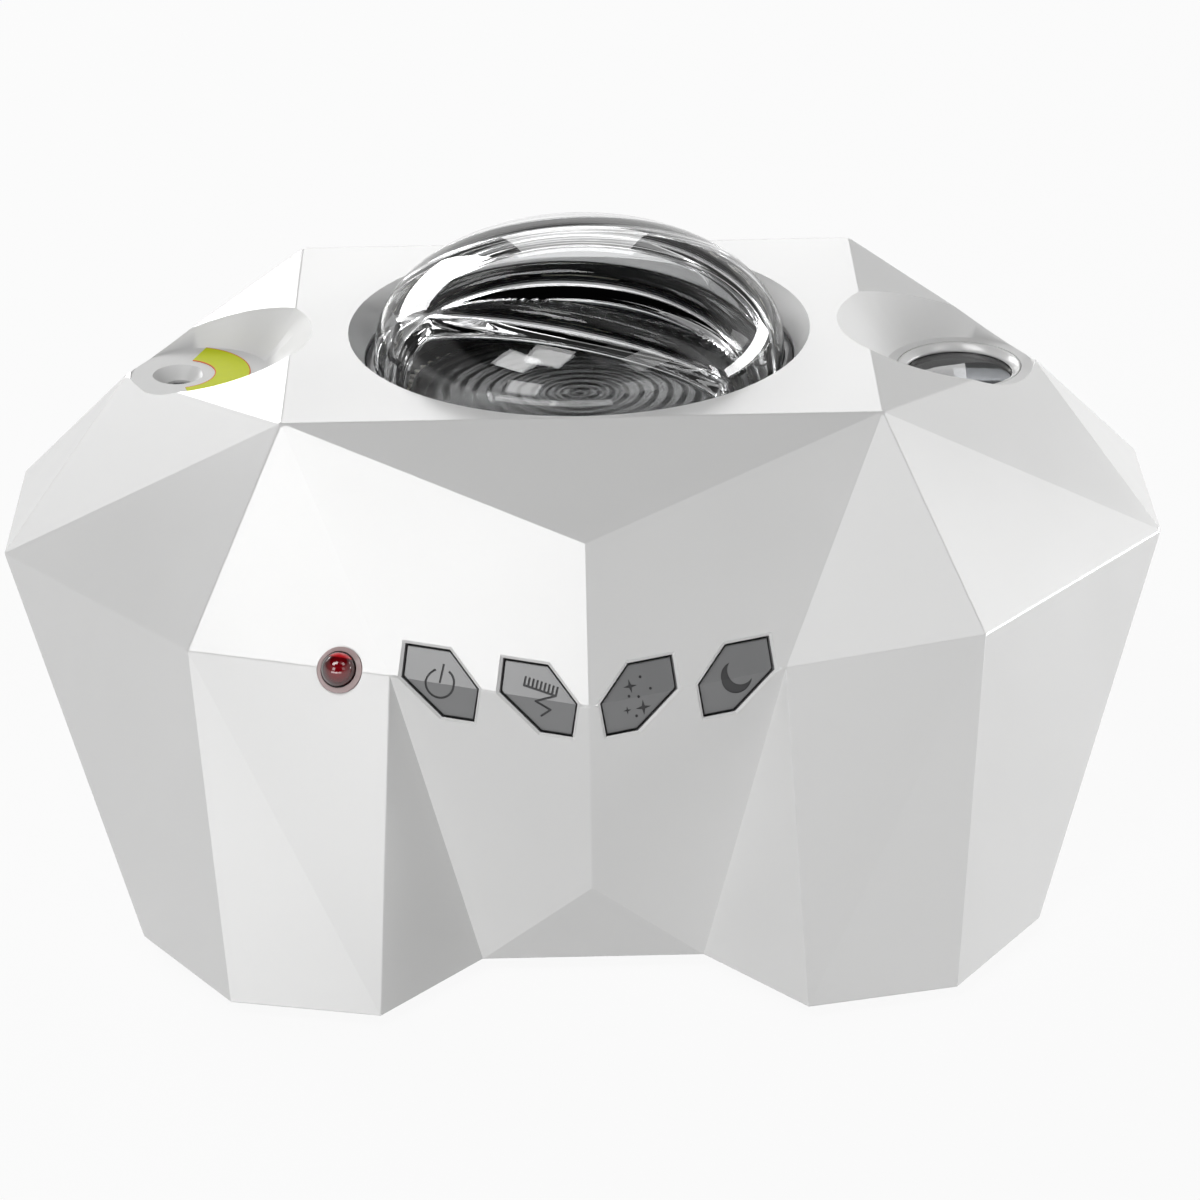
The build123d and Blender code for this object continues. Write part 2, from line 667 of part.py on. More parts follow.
def lug(radius, top, bottom, angle, reach, start):
    """An arm with a round end, from radius start out to reach."""
    arm = at(0, 0, bottom) * Rot(0, 0, angle) * Pos((start + reach) / 2, 0, (bottom - top) / 2) \
        * Box(reach - start, 2 * radius, bottom - top)
    x, y = around(reach, (angle,))[0]
    return arm + rod(radius, top, bottom, x, y)


def dome_clamp_ring():
    ring = rod(COLLAR_R, FLANGE_BOTTOM, CLAMP_BOTTOM)
    for angle in (45, 135, 225, 315):
        ring += lug(FRAME_LUG_R, FLANGE_BOTTOM, CLAMP_BOTTOM, angle, FRAME_R, COLLAR_R - 4)
    for x, y in around(FRAME_R, (45, 135, 225, 315)):
        ring -= rod(FRAME_SCREW_R + SEAT_GAP, FLANGE_BOTTOM - 1, CLAMP_BOTTOM + 1, x, y)
    return ring - rod(CLAMP_BORE_R, FLANGE_BOTTOM - 1, CLAMP_BOTTOM + 1)


# ================================================================== aurora optics
AURORA_PITCH_R = AURORA_MODULE * AURORA_TEETH / 2
MOTOR_Y = AURORA_PITCH_R + AURORA_MODULE * PINION_TEETH / 2
CUP_ANGLES = (-90, 30, 150)


def optics_chassis():
    body = rod(CHASSIS_R, CHASSIS_TOP, CHASSIS_BOTTOM)
    body += rod(MOTOR_R + MOTOR_SLEEVE, CHASSIS_TOP, CHASSIS_BOTTOM + 6, 0, MOTOR_Y)
    body += rod(SHOULDER_R, GEAR_BOTTOM, CHASSIS_TOP) + rod(NECK_R, NECK_TOP, CHASSIS_TOP)
    for angle in (45, 135, 225, 315):
        body += lug(FRAME_LUG_R, CHASSIS_TOP, CHASSIS_BOTTOM, angle, FRAME_R, CHASSIS_R - 4)
    for x, y in around(FRAME_R, (45, 135, 225, 315)):
        body += rod(FRAME_LUG_R, CLAMP_BOTTOM, CHASSIS_TOP, x, y)
        body -= rod(FRAME_SCREW_R + SEAT_GAP, CLAMP_BOTTOM - 1, CHASSIS_BOTTOM + 1, x, y)
    for x, y in around(CUP_EAR_R, CUP_ANGLES):
        body += rod(2.2, EAR_BOTTOM - SCREW_LENGTH - 0.3, CHASSIS_TOP, x, y)
        body -= rod(PILOT_R, EAR_BOTTOM - SCREW_LENGTH, CHASSIS_BOTTOM + 1, x, y)
    body -= rod(NECK_BORE_R, NECK_TOP - 1, CHASSIS_BOTTOM + 1)
    body -= rod(SHAFT_R + 1, CHASSIS_TOP - 1, CHASSIS_BOTTOM + 1, 0, MOTOR_Y)
    return body - rod(MOTOR_R, CHASSIS_BOTTOM, CHASSIS_BOTTOM + 7, 0, MOTOR_Y)


def frame_screws():
    screws = []
    for x, y in around(FRAME_R, (45, 135, 225, 315)):
        screw = rod(FRAME_SCREW_R, FRAME_PILOT_TOP + 0.5, CHASSIS_BOTTOM, x, y)
        screw += rod(FRAME_HEAD_R, CHASSIS_BOTTOM, CHASSIS_BOTTOM + FRAME_HEAD_T, x, y)
        screws.append(screw - at(x, y, CHASSIS_BOTTOM + FRAME_HEAD_T) * Box(3.0, 0.7, 1.6))
    return screws


def aurora_gear_ring():
    wheel = extrude(gear_outline(AURORA_MODULE, AURORA_TEETH, 90), GEAR_BOTTOM - GEAR_TOP)
    return at(0, 0, GEAR_BOTTOM) * wheel - rod(NECK_R + RUNNING, GEAR_TOP - 1, GEAR_BOTTOM + 1)


def wave_disc():
    """A clear disc whose top is moulded in rings of waves."""
    crest = height(WAVE_TOP) - height(GEAR_TOP)
    steps = 24
    waves = [(WAVE_R * k / steps, crest - WAVE_HEIGHT * (k % 2)) for k in range(steps + 1)]
    top = Spline(*waves)
    edge = Polyline(waves[-1], (WAVE_R, 0), (0, 0), waves[0])
    return at(0, 0, GEAR_TOP) * revolve(Plane.XZ * make_face(top + edge), Axis.Z)


def pinion(module, x, y, top, bottom):
    """A pinion with a gap facing -y, bored to press on its shaft."""
    gap_facing = 270 + 180 / PINION_TEETH
    wheel = at(x, y, bottom) * extrude(gear_outline(module, PINION_TEETH, gap_facing), bottom - top)
    return wheel - rod(SHAFT_R, top - 1, bottom + 1, x, y)


def motor(radius, top, bottom, x, y):
    """A can with a bearing bore for the shaft and two terminals underneath."""
    can = rod(radius, top, bottom - 1.5, x, y) + rod(radius * 0.6, bottom - 1.5, bottom, x, y)
    for side in (-1, 1):
        can += at(x + side * radius * 0.8, y, bottom) * Box(0.6, 1.6, 3.0)
    return can - rod(SHAFT_R + RUNNING, top - 1, top + 6, x, y)


def lamp_cup():
    """The black light cup: a cone inside, three ears outside, ribs down its wall."""
    cup = rod(CUP_R, CHASSIS_BOTTOM, CUP_BOTTOM)
    for angle in CUP_ANGLES:
        cup += lug(CUP_LUG_R, CHASSIS_BOTTOM, EAR_BOTTOM, angle, CUP_EAR_R, CUP_R - CUP_LUG_R)
    cup -= cone(CUP_MOUTH_R, CUP_FLOOR_R, CHASSIS_BOTTOM, CUP_BOTTOM)
    for x, y in around(CUP_EAR_R, CUP_ANGLES):
        cup -= rod(THROUGH_R, CHASSIS_BOTTOM - 1, EAR_BOTTOM + 1, x, y)
    for x, y in around(SINK_SCREW_R, CUP_ANGLES):
        cup -= rod(PILOT_R, CUP_BOTTOM - SCREW_LENGTH + SINK_BASE + BOARD_T, CUP_BOTTOM, x, y)
    return cup


def lamp_led_board():
    board = rod(CUP_R, CUP_BOTTOM, CUP_BOTTOM + BOARD_T)
    for x, y in around(SINK_SCREW_R, CUP_ANGLES):
        board -= rod(THROUGH_R, CUP_BOTTOM - 1, CUP_BOTTOM + BOARD_T + 1, x, y)
    return board


def lamp_leds():
    spots = around(LED_CIRCLE_R, (45, 135, 225, 315))
    led = Box(LED_SIZE, LED_SIZE, LED_HEIGHT, align=STAND)
    return [at(x, y, CUP_BOTTOM) * led for x, y in spots]


def collimator_lenses():
    lenses = []
    for x, y in around(LED_CIRCLE_R, (45, 135, 225, 315)):
        lens = cone(COLLIMATOR_R, COLLIMATOR_FOOT_R, COLLIMATOR_TOP, CUP_BOTTOM, x, y)
        lenses.append(lens - rod(COLLIMATOR_POCKET_R, CUP_BOTTOM - COLLIMATOR_POCKET, CUP_BOTTOM, x, y))
    return lenses


def heat_sink():
    top = CUP_BOTTOM + BOARD_T
    sink = rod(CUP_R, top, top + SINK_BASE)
    fin_height = SINK_BOTTOM - top - SINK_BASE
    for k in range(-FIN_PAIRS, FIN_PAIRS + 1):
        fin = Box(2 * CUP_R, FIN_T, fin_height, align=STAND)
        sink += at(0, k * FIN_PITCH, SINK_BOTTOM) * fin & rod(FIN_CIRCLE_R, top, SINK_BOTTOM)
    for x, y in around(SINK_SCREW_R, CUP_ANGLES):
        sink -= rod(THROUGH_R, top - 1, top + SINK_BASE + 1, x, y)
    return sink


# ================================================================== star laser
STAR_MOTOR_Y = STAR_MODULE * (STAR_TEETH + PINION_TEETH) / 2


def star_window():
    return rod(WINDOW_R, STAR_FLOOR + WALL, STAR_FLOOR + WALL + WINDOW_T, LASER_X)


def aperture_sticker():
    """An arc of film on the pocket's floor, round the laser's hole."""
    ring = tube(STICKER_OUT_R, STICKER_IN_R, STAR_FLOOR - STICKER_T, STAR_FLOOR, LASER_X)
    reach = 2 * STICKER_OUT_R
    wedge = [(0, 0)] + around(reach, (STICKER_START_ANGLE, 0, STICKER_END_ANGLE))
    keep = extrude(make_face(Polyline(*wedge, close=True)), 2)
    return ring & at(LASER_X, 0, STAR_FLOOR + 1) * keep & rod(STAR_FLOOR_R, 0, STAR_FLOOR + 1, STAR_X)


def star_grating_disc():
    wheel = extrude(gear_outline(STAR_MODULE, STAR_TEETH, 90), DISC_BOTTOM - DISC_TOP)
    return at(DISC_X, 0, DISC_BOTTOM) * wheel - rod(AXLE_R + RUNNING, DISC_TOP - 1, DISC_BOTTOM + 1, DISC_X)


def star_axle():
    pin = rod(AXLE_R, DISC_TOP - 0.1, BRACKET_BOTTOM, DISC_X)
    return pin + rod(AXLE_HEAD_R, DISC_TOP - 0.7, DISC_TOP - 0.1, DISC_X)


def star_bracket():
    """A plate under the disc with sleeves for the laser and the motor."""
    front, back_left, back_right = BRACKET_SCREWS
    places = (front, (LASER_X, 0), back_left, (DISC_X, STAR_MOTOR_Y), back_right)
    outline = offset(make_face(Polyline(*places, close=True)), amount=BRACKET_EDGE_R, kind=Kind.ARC)
    body = at(0, 0, BRACKET_BOTTOM) * extrude(outline, BRACKET_BOTTOM - BRACKET_TOP)
    body += rod(2 * AXLE_R, DISC_BOTTOM, BRACKET_BOTTOM, DISC_X)
    body += rod(BARREL_R + SLEEVE_T, BRACKET_TOP, SLEEVE_BOTTOM, LASER_X)
    body += rod(STAR_MOTOR_R + SLEEVE_T, BRACKET_TOP, SLEEVE_BOTTOM, DISC_X, STAR_MOTOR_Y)
    body -= rod(BARREL_R, BRACKET_BOTTOM, SLEEVE_BOTTOM + 1, LASER_X)
    body -= rod(BEAM_R, BRACKET_TOP - 1, BRACKET_BOTTOM + 1, LASER_X)
    body -= rod(STAR_MOTOR_R, BRACKET_BOTTOM, SLEEVE_BOTTOM + 1, DISC_X, STAR_MOTOR_Y)
    body -= rod(SHAFT_R + 1, BRACKET_TOP - 1, BRACKET_BOTTOM + 1, DISC_X, STAR_MOTOR_Y)
    body -= rod(AXLE_R, DISC_BOTTOM - 1, BRACKET_BOTTOM + 1, DISC_X)
    for x, y in BRACKET_SCREWS:
        body -= rod(THROUGH_R, BRACKET_TOP - 1, BRACKET_BOTTOM + 1, x, y)
    return body


def laser_barrel():
    barrel = rod(BARREL_R, BRACKET_BOTTOM, BARREL_BOTTOM, LASER_X)
    barrel -= rod(3.0, BRACKET_BOTTOM - 1, BRACKET_BOTTOM + 2.5, LASER_X)
    return barrel - rod(1.6, BRACKET_BOTTOM, BARREL_BOTTOM - 4, LASER_X)


def laser_lens():
    return rod(2.9, BRACKET_BOTTOM + 1.0, BRACKET_BOTTOM + 2.5, LASER_X)


def laser_driver_board():
    return rod(BARREL_R - 0.2, BARREL_BOTTOM, BARREL_BOTTOM + 1.2, LASER_X)


# ================================================================== moon lens
def moon_bezel_ring():
    """The ring in the pocket's floor, bevelled down to the lens."""
    floor = MOON_FLOOR + WALL
    ring = rod(BEZEL_R, MOON_FLOOR, floor, MOON_X) + rod(BEZEL_FLANGE_R, floor, TUBE_TOP, MOON_X)
    bevel = LENS_TOP - 0.4
    ring -= cone(BEZEL_MOUTH_R, LENS_OPENING_R, MOON_FLOOR, bevel, MOON_X)
    ring -= rod(LENS_OPENING_R, bevel, LENS_TOP, MOON_X)
    return ring - rod(LENS_R + RUNNING, LENS_TOP, TUBE_TOP, MOON_X)


def moon_front_lens():
    return rod(LENS_R, LENS_TOP, TUBE_TOP, MOON_X) + bulge(LENS_OPENING_R - 0.15, LENS_BULGE, LENS_TOP, MOON_X)


def moon_lens_tube():
    body = rod(TUBE_R, TUBE_TOP, TUBE_BOTTOM, MOON_X)
    body += rod(BEZEL_FLANGE_R, TUBE_TOP, TUBE_TOP + TUBE_FLANGE, MOON_X)
    for angle in TUBE_SCREW_ANGLES:
        body += Pos(MOON_X, 0, 0) * lug(2.6, TUBE_TOP, TUBE_TOP + TUBE_FLANGE, angle, TUBE_SCREW_R, 8)
    for x, y in around(TUBE_SCREW_R, TUBE_SCREW_ANGLES, MOON_X):
        body -= rod(THROUGH_R, TUBE_TOP - 1, TUBE_TOP + TUBE_FLANGE + 1, x, y)
    body -= rod(TUBE_BORE_R, TUBE_TOP - 1, TUBE_SEAT_TOP, MOON_X)
    return body - rod(TUBE_SEAT_R, TUBE_SEAT_TOP, TUBE_BOTTOM + 1, MOON_X)


def moon_slide():
    return rod(TUBE_SEAT_R - SEAT_GAP, TUBE_SEAT_TOP, CONDENSER_TOP, MOON_X)


def moon_condenser():
    rim = CONDENSER_TOP + CONDENSER_RIM
    body = rod(TUBE_SEAT_R - SEAT_GAP, CONDENSER_TOP, rim, MOON_X)
    return body + bulge(RETAINER_BORE_R - SEAT_GAP, CONDENSER_BULGE, rim, MOON_X, side=-1)


def moon_retainer_ring():
    return tube(TUBE_SEAT_R - SEAT_GAP, RETAINER_BORE_R, CONDENSER_TOP + CONDENSER_RIM, TUBE_BOTTOM, MOON_X)


def moon_led_board():
    return rod(TUBE_R, TUBE_BOTTOM, TUBE_BOTTOM + BOARD_T, MOON_X)


def moon_led():
    led = Box(LED_SIZE, LED_SIZE, LED_HEIGHT, align=STAND)
    return at(MOON_X, 0, TUBE_BOTTOM) * led


# ================================================================== signs on the keys
def stroke(*points):
    """A line of a sign, as wide as all its lines, with round ends."""
    line = None
    for start, end in zip(points, points[1:]):
        middle = ((start[0] + end[0]) / 2, (start[1] + end[1]) / 2)
        across, up = end[0] - start[0], end[1] - start[1]
        length = (across ** 2 + up ** 2) ** 0.5
        bar = Rot(0, 0, atan2(up, across) * 180 / pi) * SlotCenterToCenter(length, SIGN_LINE)
        bar = Pos(*middle) * bar
        line = bar if line is None else line + bar
    return line


def power_sign():
    ring = Circle(POWER_R + SIGN_LINE / 2) - Circle(POWER_R - SIGN_LINE / 2)
    half_gap = POWER_R * 2 * tan(radians(POWER_GAP_ANGLE / 2))
    ring -= make_face(Polyline((0, 0), (half_gap, POWER_R * 2), (-half_gap, POWER_R * 2), close=True))
    return ring + stroke((0, 0.2), (0, POWER_BAR))


def moon_sign():
    return Circle(MOON_R) - Pos(*MOON_BITE) * Circle(MOON_BITE_R)


def stars_sign():
    sign = None
    for x, y, reach in STARS:
        points = []
        for k in range(4):
            for radius, angle in ((reach, 90 * k), (0.28 * reach, 90 * k + 45)):
                points += around(radius, (angle,), x, y)
        star = make_face(Polyline(*points, close=True))
        sign = star if sign is None else sign + star
    for x, y in STAR_DOTS:
        sign += Pos(x, y) * Circle(STAR_DOT_R)
    return sign


def aurora_sign():
    """A folded curtain of light: rays stand on its line."""
    sign = stroke(*CURTAIN)
    (x_start, y_start), (x_end, y_end) = CURTAIN[:2]
    for k in range(CURTAIN_RAYS):
        share = k / (CURTAIN_RAYS - 1)
        x, y = x_start + share * (x_end - x_start), y_start + share * (y_end - y_start)
        sign += stroke((x, y), (x, y + CURTAIN_RAY))
    return sign


# ================================================================== keys
def engraved(key, shift, sign, left=False):
    """Cuts a sign into a cap, to an even depth under its two folded faces."""
    turned = sign.mirror(Plane.YZ) if left else sign
    tool = extrude(Pos(KEY_CENTRE_S - shift, 0, 0) * turned, KEY_BACK, both=True)
    tool = (KEY_PLANE * tool) - faceted_form(KEY_SUNK + SIGN_DEPTH)
    return key - tool


def right_key(shift):
    """A cap folded along the crease, a lip behind the wall and a stem to its switch."""
    cap = (KEY_PLANE * key_prism(shift, -KEY_GAP, -KEY_BACK, 6)) & faceted_form(KEY_SUNK)
    lip = (KEY_PLANE * key_prism(shift, KEY_LIP, -KEY_BACK, 6)) & faceted_form(WALL + LIP_REST_GAP)
    lip &= Pos(LIP_MIDDLE_GAP, 0, 0) * Box(200, 400, 400, align=(Align.MIN, Align.CENTER, Align.CENTER))
    stem = KEY_PLANE * Pos(KEY_CENTRE_S - shift, 0, 0) * peg(STEM_R, -PLUNGER_TOP, -KEY_BACK)
    return cap + lip + stem


def right_plunger(shift):
    place = Pos(KEY_CENTRE_S - shift, 0, 0)
    return KEY_PLANE * place * peg(PLUNGER_R, -SWITCH_TOP - 1.0, -PLUNGER_TOP)


def right_switch(shift):
    body = Pos(0, 0, -KEY_BOARD_TOP) * Box(SWITCH_SIZE, SWITCH_SIZE, KEY_BOARD_TOP - SWITCH_TOP, align=STAND)
    body -= peg(PLUNGER_R + RUNNING, -SWITCH_TOP - 1.0 - KEY_TRAVEL - 0.2, -SWITCH_TOP)
    return KEY_PLANE * Pos(KEY_CENTRE_S - shift, 0, 0) * body


def right_key_board():
    width = KEY_BOARD_END - KEY_BOARD_START
    board = Pos(KEY_BOARD_START + width / 2, 0, -KEY_BOARD_TOP - BOARD_T / 2) * Box(width, 2 * KEY_BOARD_HALF, BOARD_T)
    for t in (KEY_POST_T, -KEY_POST_T):
        board -= Pos(KEY_POST_S, t, 0) * peg(THROUGH_R, -KEY_BOARD_TOP - BOARD_T - 1, -KEY_BOARD_TOP + 1)
    return KEY_PLANE * board


# ================================================================== receiver, boards, inlet
def ir_lens():
    lens = peg(IR_FLANGE_R, -IR_SEAT, IR_FLANGE_T - IR_SEAT) + peg(IR_DOME_R, -IR_STEM, 0)
    dome = Pos(0, 0, IR_FLANGE_T - IR_SEAT) * Sphere(IR_DOME_R)
    return IR_PLANE * (lens + (dome & peg(IR_DOME_R + 1, 0, 5)))


def ir_receiver():
    body = Pos(0, 0, -IR_STEM - IR_BOX_T / 2) * Box(IR_BOX, IR_BOX, IR_BOX_T)
    for x in (-1.7, 0, 1.7):
        body += Pos(x, 0, -IR_STEM - IR_BOX_T - 2) * Box(0.5, 0.5, 4)
    return IR_PLANE * body


def main_board():
    half_x, half_y = MAIN_BOARD_HALF
    board = Pos(0, 0, BOARD_LOW) * Box(2 * half_x, 2 * half_y, BOARD_T, align=STAND)
    for x, y in four_ways(*STANDOFF_PLACES):
        board -= Pos(x, y, BOARD_LOW) * peg(THROUGH_R, -1, BOARD_T + 1)
    return board


BOARD_LOW = FOOT_PROUD + PLATE_T + STANDOFF_H


def board_components():
    """Controller, driver chips and a coil, the sockets of the leads, and capacitors."""
    top = BOARD_LOW + BOARD_T
    blocks = [Pos(x, y, top) * Box(wide, deep, tall, align=STAND) for x, y, wide, deep, tall in CHIPS + LEAD_SOCKETS]
    return blocks + [Pos(x, y, top) * Cylinder(radius, tall, align=STAND) for x, y, radius, tall in CAPACITORS]


def power_jack():
    flange = peg(JACK_FLANGE_R, 0, JACK_FLANGE_T)
    body = chamfer(flange.edges().group_by(Axis.Z)[-1], JACK_CHAMFER) + peg(JACK_R, -JACK_LENGTH, 0)
    body -= peg(JACK_BORE_R, -JACK_BORE_DEPTH, JACK_FLANGE_T + 1)
    body -= peg(JACK_PIN_R, -JACK_BORE_DEPTH - 3, -JACK_BORE_DEPTH + 1)
    for x in (-2, 2):
        body += Pos(x, 0, -JACK_LENGTH - 2) * Box(0.5, 2.2, 4)
    return JACK_PLANE * body


def jack_pin():
    return JACK_PLANE * peg(JACK_PIN_R, -JACK_BORE_DEPTH - 3, -0.6)


def jack_nut():
    nut = extrude(RegularPolygon(NUT_FLATS / 2, 6, major_radius=False), NUT_T) - peg(JACK_R, -1, NUT_T + 1)
    return JACK_PLANE * Pos(0, 0, -WALL - NUT_T) * nut


def inner_screws():
    """The identical small screws: cup, heat sink, laser bracket, moon tube and boards."""
    screws = []
    upwards = [(x, y, EAR_BOTTOM) for x, y in around(CUP_EAR_R, CUP_ANGLES)]
    upwards += [(x, y, CUP_BOTTOM + BOARD_T + SINK_BASE) for x, y in around(SINK_SCREW_R, CUP_ANGLES)]
    upwards += [(x, y, BRACKET_BOTTOM) for x, y in BRACKET_SCREWS]
    upwards += [(x, y, TUBE_TOP + TUBE_FLANGE) for x, y in around(TUBE_SCREW_R, TUBE_SCREW_ANGLES, MOON_X)]
    screws += [at(*place) * small_screw() for place in upwards]
    for x, y in four_ways(*STANDOFF_PLACES):
        screws.append(Pos(x, y, BOARD_LOW + BOARD_T) * Rot(180, 0, 0) * small_screw())
    for t in (KEY_POST_T, -KEY_POST_T):
        screw = KEY_PLANE * Pos(KEY_POST_S, t, -KEY_BOARD_TOP - BOARD_T) * small_screw()
        screws += [screw, left_of(screw)]
    return screws


# ================================================================== write the nodes
def write(name, shape):
    """One node, from one solid or a list of separate solids."""
    if isinstance(shape, list):
        solids = [s for piece in shape for s in piece.solids()]
        shape = Compound(children=solids)
    export_step(shape, "parts/" + name + ".step")


NODES = {
    "upper_housing": upper_housing(),
    "base_plate": base_plate(),
    "rubber_feet": rubber_feet(),
    "base_screws": base_screws(),
    "dome_cover": dome_cover(),
    "dome_seal_ring": dome_seal_ring(),
    "dome_clamp_ring": dome_clamp_ring(),
    "optics_chassis": optics_chassis(),
    "frame_screws": frame_screws(),
    "aurora_gear_ring": aurora_gear_ring(),
    "wave_disc": wave_disc(),
    "aurora_pinion": pinion(AURORA_MODULE, 0, MOTOR_Y, GEAR_TOP, GEAR_BOTTOM),
    "aurora_motor_shaft": rod(SHAFT_R, GEAR_TOP - 0.3, CHASSIS_BOTTOM + 5.5, 0, MOTOR_Y),
    "aurora_motor": motor(MOTOR_R, CHASSIS_BOTTOM, MOTOR_BOTTOM, 0, MOTOR_Y),
    "lamp_cup": lamp_cup(),
    "lamp_led_board": lamp_led_board(),
    "lamp_leds": lamp_leds(),
    "collimator_lenses": collimator_lenses(),
    "heat_sink": heat_sink(),
    "star_window": star_window(),
    "aperture_sticker": aperture_sticker(),
    "star_grating_disc": star_grating_disc(),
    "star_axle": star_axle(),
    "star_bracket": star_bracket(),
    "star_pinion": pinion(STAR_MODULE, DISC_X, STAR_MOTOR_Y, DISC_TOP, DISC_BOTTOM),
    "star_motor_shaft": rod(SHAFT_R, DISC_TOP - 0.3, BRACKET_BOTTOM + 5.5, DISC_X, STAR_MOTOR_Y),
    "star_motor": motor(STAR_MOTOR_R, BRACKET_BOTTOM, STAR_MOTOR_BOTTOM, DISC_X, STAR_MOTOR_Y),
    "laser_barrel": laser_barrel(),
    "laser_lens": laser_lens(),
    "laser_driver_board": laser_driver_board(),
    "moon_bezel_ring": moon_bezel_ring(),
    "moon_front_lens": moon_front_lens(),
    "moon_lens_tube": moon_lens_tube(),
    "moon_slide": moon_slide(),
    "moon_condenser": moon_condenser(),
    "moon_retainer_ring": moon_retainer_ring(),
    "moon_led_board": moon_led_board(),
    "moon_led": moon_led(),
    "moon_key": engraved(right_key(0), 0, moon_sign()),
    "stars_key": engraved(right_key(KEY_PITCH), KEY_PITCH, stars_sign()),
    "power_key": left_of(engraved(right_key(0), 0, power_sign(), left=True)),
    "aurora_key": left_of(engraved(right_key(KEY_PITCH), KEY_PITCH, aurora_sign(), left=True)),
    "moon_plunger": right_plunger(0),
    "stars_plunger": right_plunger(KEY_PITCH),
    "power_plunger": left_of(right_plunger(0)),
    "aurora_plunger": left_of(right_plunger(KEY_PITCH)),
    "key_switches": [s for k in (0, KEY_PITCH) for s in (right_switch(k), left_of(right_switch(k)))],
    "key_board_right": right_key_board(),
    "key_board_left": left_of(right_key_board()),
    "ir_lens": ir_lens(),
    "ir_receiver": ir_receiver(),
    "main_board": main_board(),
    "board_components": board_components(),
    "power_jack": power_jack(),
    "jack_pin": jack_pin(),
    "jack_nut": jack_nut(),
    "inner_screws": inner_screws(),
}

for node, shape in NODES.items():
    write(node, shape)
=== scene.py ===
import json
import math

import bmesh
import bpy
from mathutils import Matrix, Vector
from mathutils.bvhtree import BVHTree


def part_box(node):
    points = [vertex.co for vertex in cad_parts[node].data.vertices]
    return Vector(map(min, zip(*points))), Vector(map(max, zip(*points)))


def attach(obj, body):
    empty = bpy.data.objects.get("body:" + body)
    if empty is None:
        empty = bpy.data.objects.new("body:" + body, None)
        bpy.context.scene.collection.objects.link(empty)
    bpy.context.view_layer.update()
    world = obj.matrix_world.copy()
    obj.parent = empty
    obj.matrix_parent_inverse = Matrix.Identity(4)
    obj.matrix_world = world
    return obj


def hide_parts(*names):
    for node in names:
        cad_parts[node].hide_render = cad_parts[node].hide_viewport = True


bl_info = {
    "name": "Faceted star projector",
    "version": (1, 0, 0),
    "blender": (4, 5, 0),
    "location": "View3D > Sidebar > Projector",
    "description": "Dresses the projector's solids: shell, dome, pockets, keys and what is inside",
    "category": "Object",
}

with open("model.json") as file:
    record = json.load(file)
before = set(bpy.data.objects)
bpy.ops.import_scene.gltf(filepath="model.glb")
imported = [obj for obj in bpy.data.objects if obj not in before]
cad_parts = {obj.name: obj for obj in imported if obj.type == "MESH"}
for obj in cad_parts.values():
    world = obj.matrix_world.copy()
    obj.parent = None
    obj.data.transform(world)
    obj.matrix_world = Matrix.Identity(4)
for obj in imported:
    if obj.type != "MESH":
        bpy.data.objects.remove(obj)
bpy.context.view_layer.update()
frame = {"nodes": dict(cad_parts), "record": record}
NODES = frame["nodes"]
MM = 0.001
DECK_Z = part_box("upper_housing")[1].z
SOLE_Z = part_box("upper_housing")[0].z

# Corners of the shell's front right quarter: x, y and drop below the deck, in millimetres.
CORNERS = {
    "deck": (42.9, -35.1, 0.0), "ear": (68.4, 0.0, 6.6), "side": (86.6, -15.1, 28.7),
    "shoulder": (56.2, -55.8, 25.6), "brow": (27.5, -65.0, 25.6), "nose": (0.0, -71.5, 27.7),
    "toe": (15.6, -71.3, 67.6), "sole_front": (29.6, -86.3, 67.6), "sole_corner": (50.7, -81.7, 67.6),
    "sole_side": (64.2, -63.03, 67.6), "peak": (0.0, -53.76, 11.2), "chin": (0.0, -73.82, 55.0),
}
# Outline of a key's opening in millimetres: along the crease from the nose, and up from the crease.
KEY_HEXAGON = ((15.7, 0.1), (20.9, 4.8), (27.3, 4.8), (26.8, 0.1), (20.6, -4.6), (16.0, -4.6))
KEY_PITCH = 14.0
# Each key's node, its side, and how far its opening is shifted towards the nose, in millimetres.
KEYS = (
    ("moon_key", 1, 0.0), ("stars_key", 1, KEY_PITCH),
    ("power_key", -1, 0.0), ("aurora_key", -1, KEY_PITCH),
)
# How deep a key's face lies under the shell's, and how deep its sign can be, in millimetres.
KEY_SUNK = 0.9
SIGN_DEPTH = 0.4
# How far from the shoulder to the brow the receiver sits on its crease.
RECEIVER_SHARE = 0.753
# Waves inside the dome: lean of each one's plane and its turn in degrees, its offset in millimetres.
DOME_WAVES = (
    (72.5, 0.0, 7.2), (90.0, -6.0, 13.6), (120.0, -20.0, 8.4), (-78.0, 5.0, 12.6), (-96.0, -4.0, 19.5),
)
# Softboxes: bearing from the front to the right, elevation, width, height and strength.
LAMPS = (
    (-150, 20, 0.7, 0.5, 0.5), (180, 23, 0.45, 0.45, 0.075), (-130, 20, 0.4, 0.4, 0.04),
    (-53, 54, 0.45, 0.45, 0.185), (-33, 66, 0.45, 0.45, 0.17), (-34, 26, 0.45, 0.45, 0.11),
    (-30, 5, 0.9, 0.25, 0.14), (0, 5, 0.9, 0.25, 0.11), (34, 25, 0.45, 0.45, 0.03),
    (34, 66, 0.45, 0.45, 0.01), (53, 53, 0.45, 0.45, 0.08), (108, 22, 0.35, 0.35, 0.035),
    (110, 6, 1.3, 0.3, 0.87),
)
LAMP_DISTANCE = 1.5
LAMP_AIM = Vector((0, 0, 0.04))
# What reflections see of the room: where each of its bands starts and ends, along the ray's direction.
FRONT_END = (-0.8, -0.7)
HORIZON = (0.24, 0.12)
WALLS_TOP = (0.68, 0.62)
WINDOW_SIDE = (0.6, 0.66)
WINDOW_TOP = (0.56, 0.52)
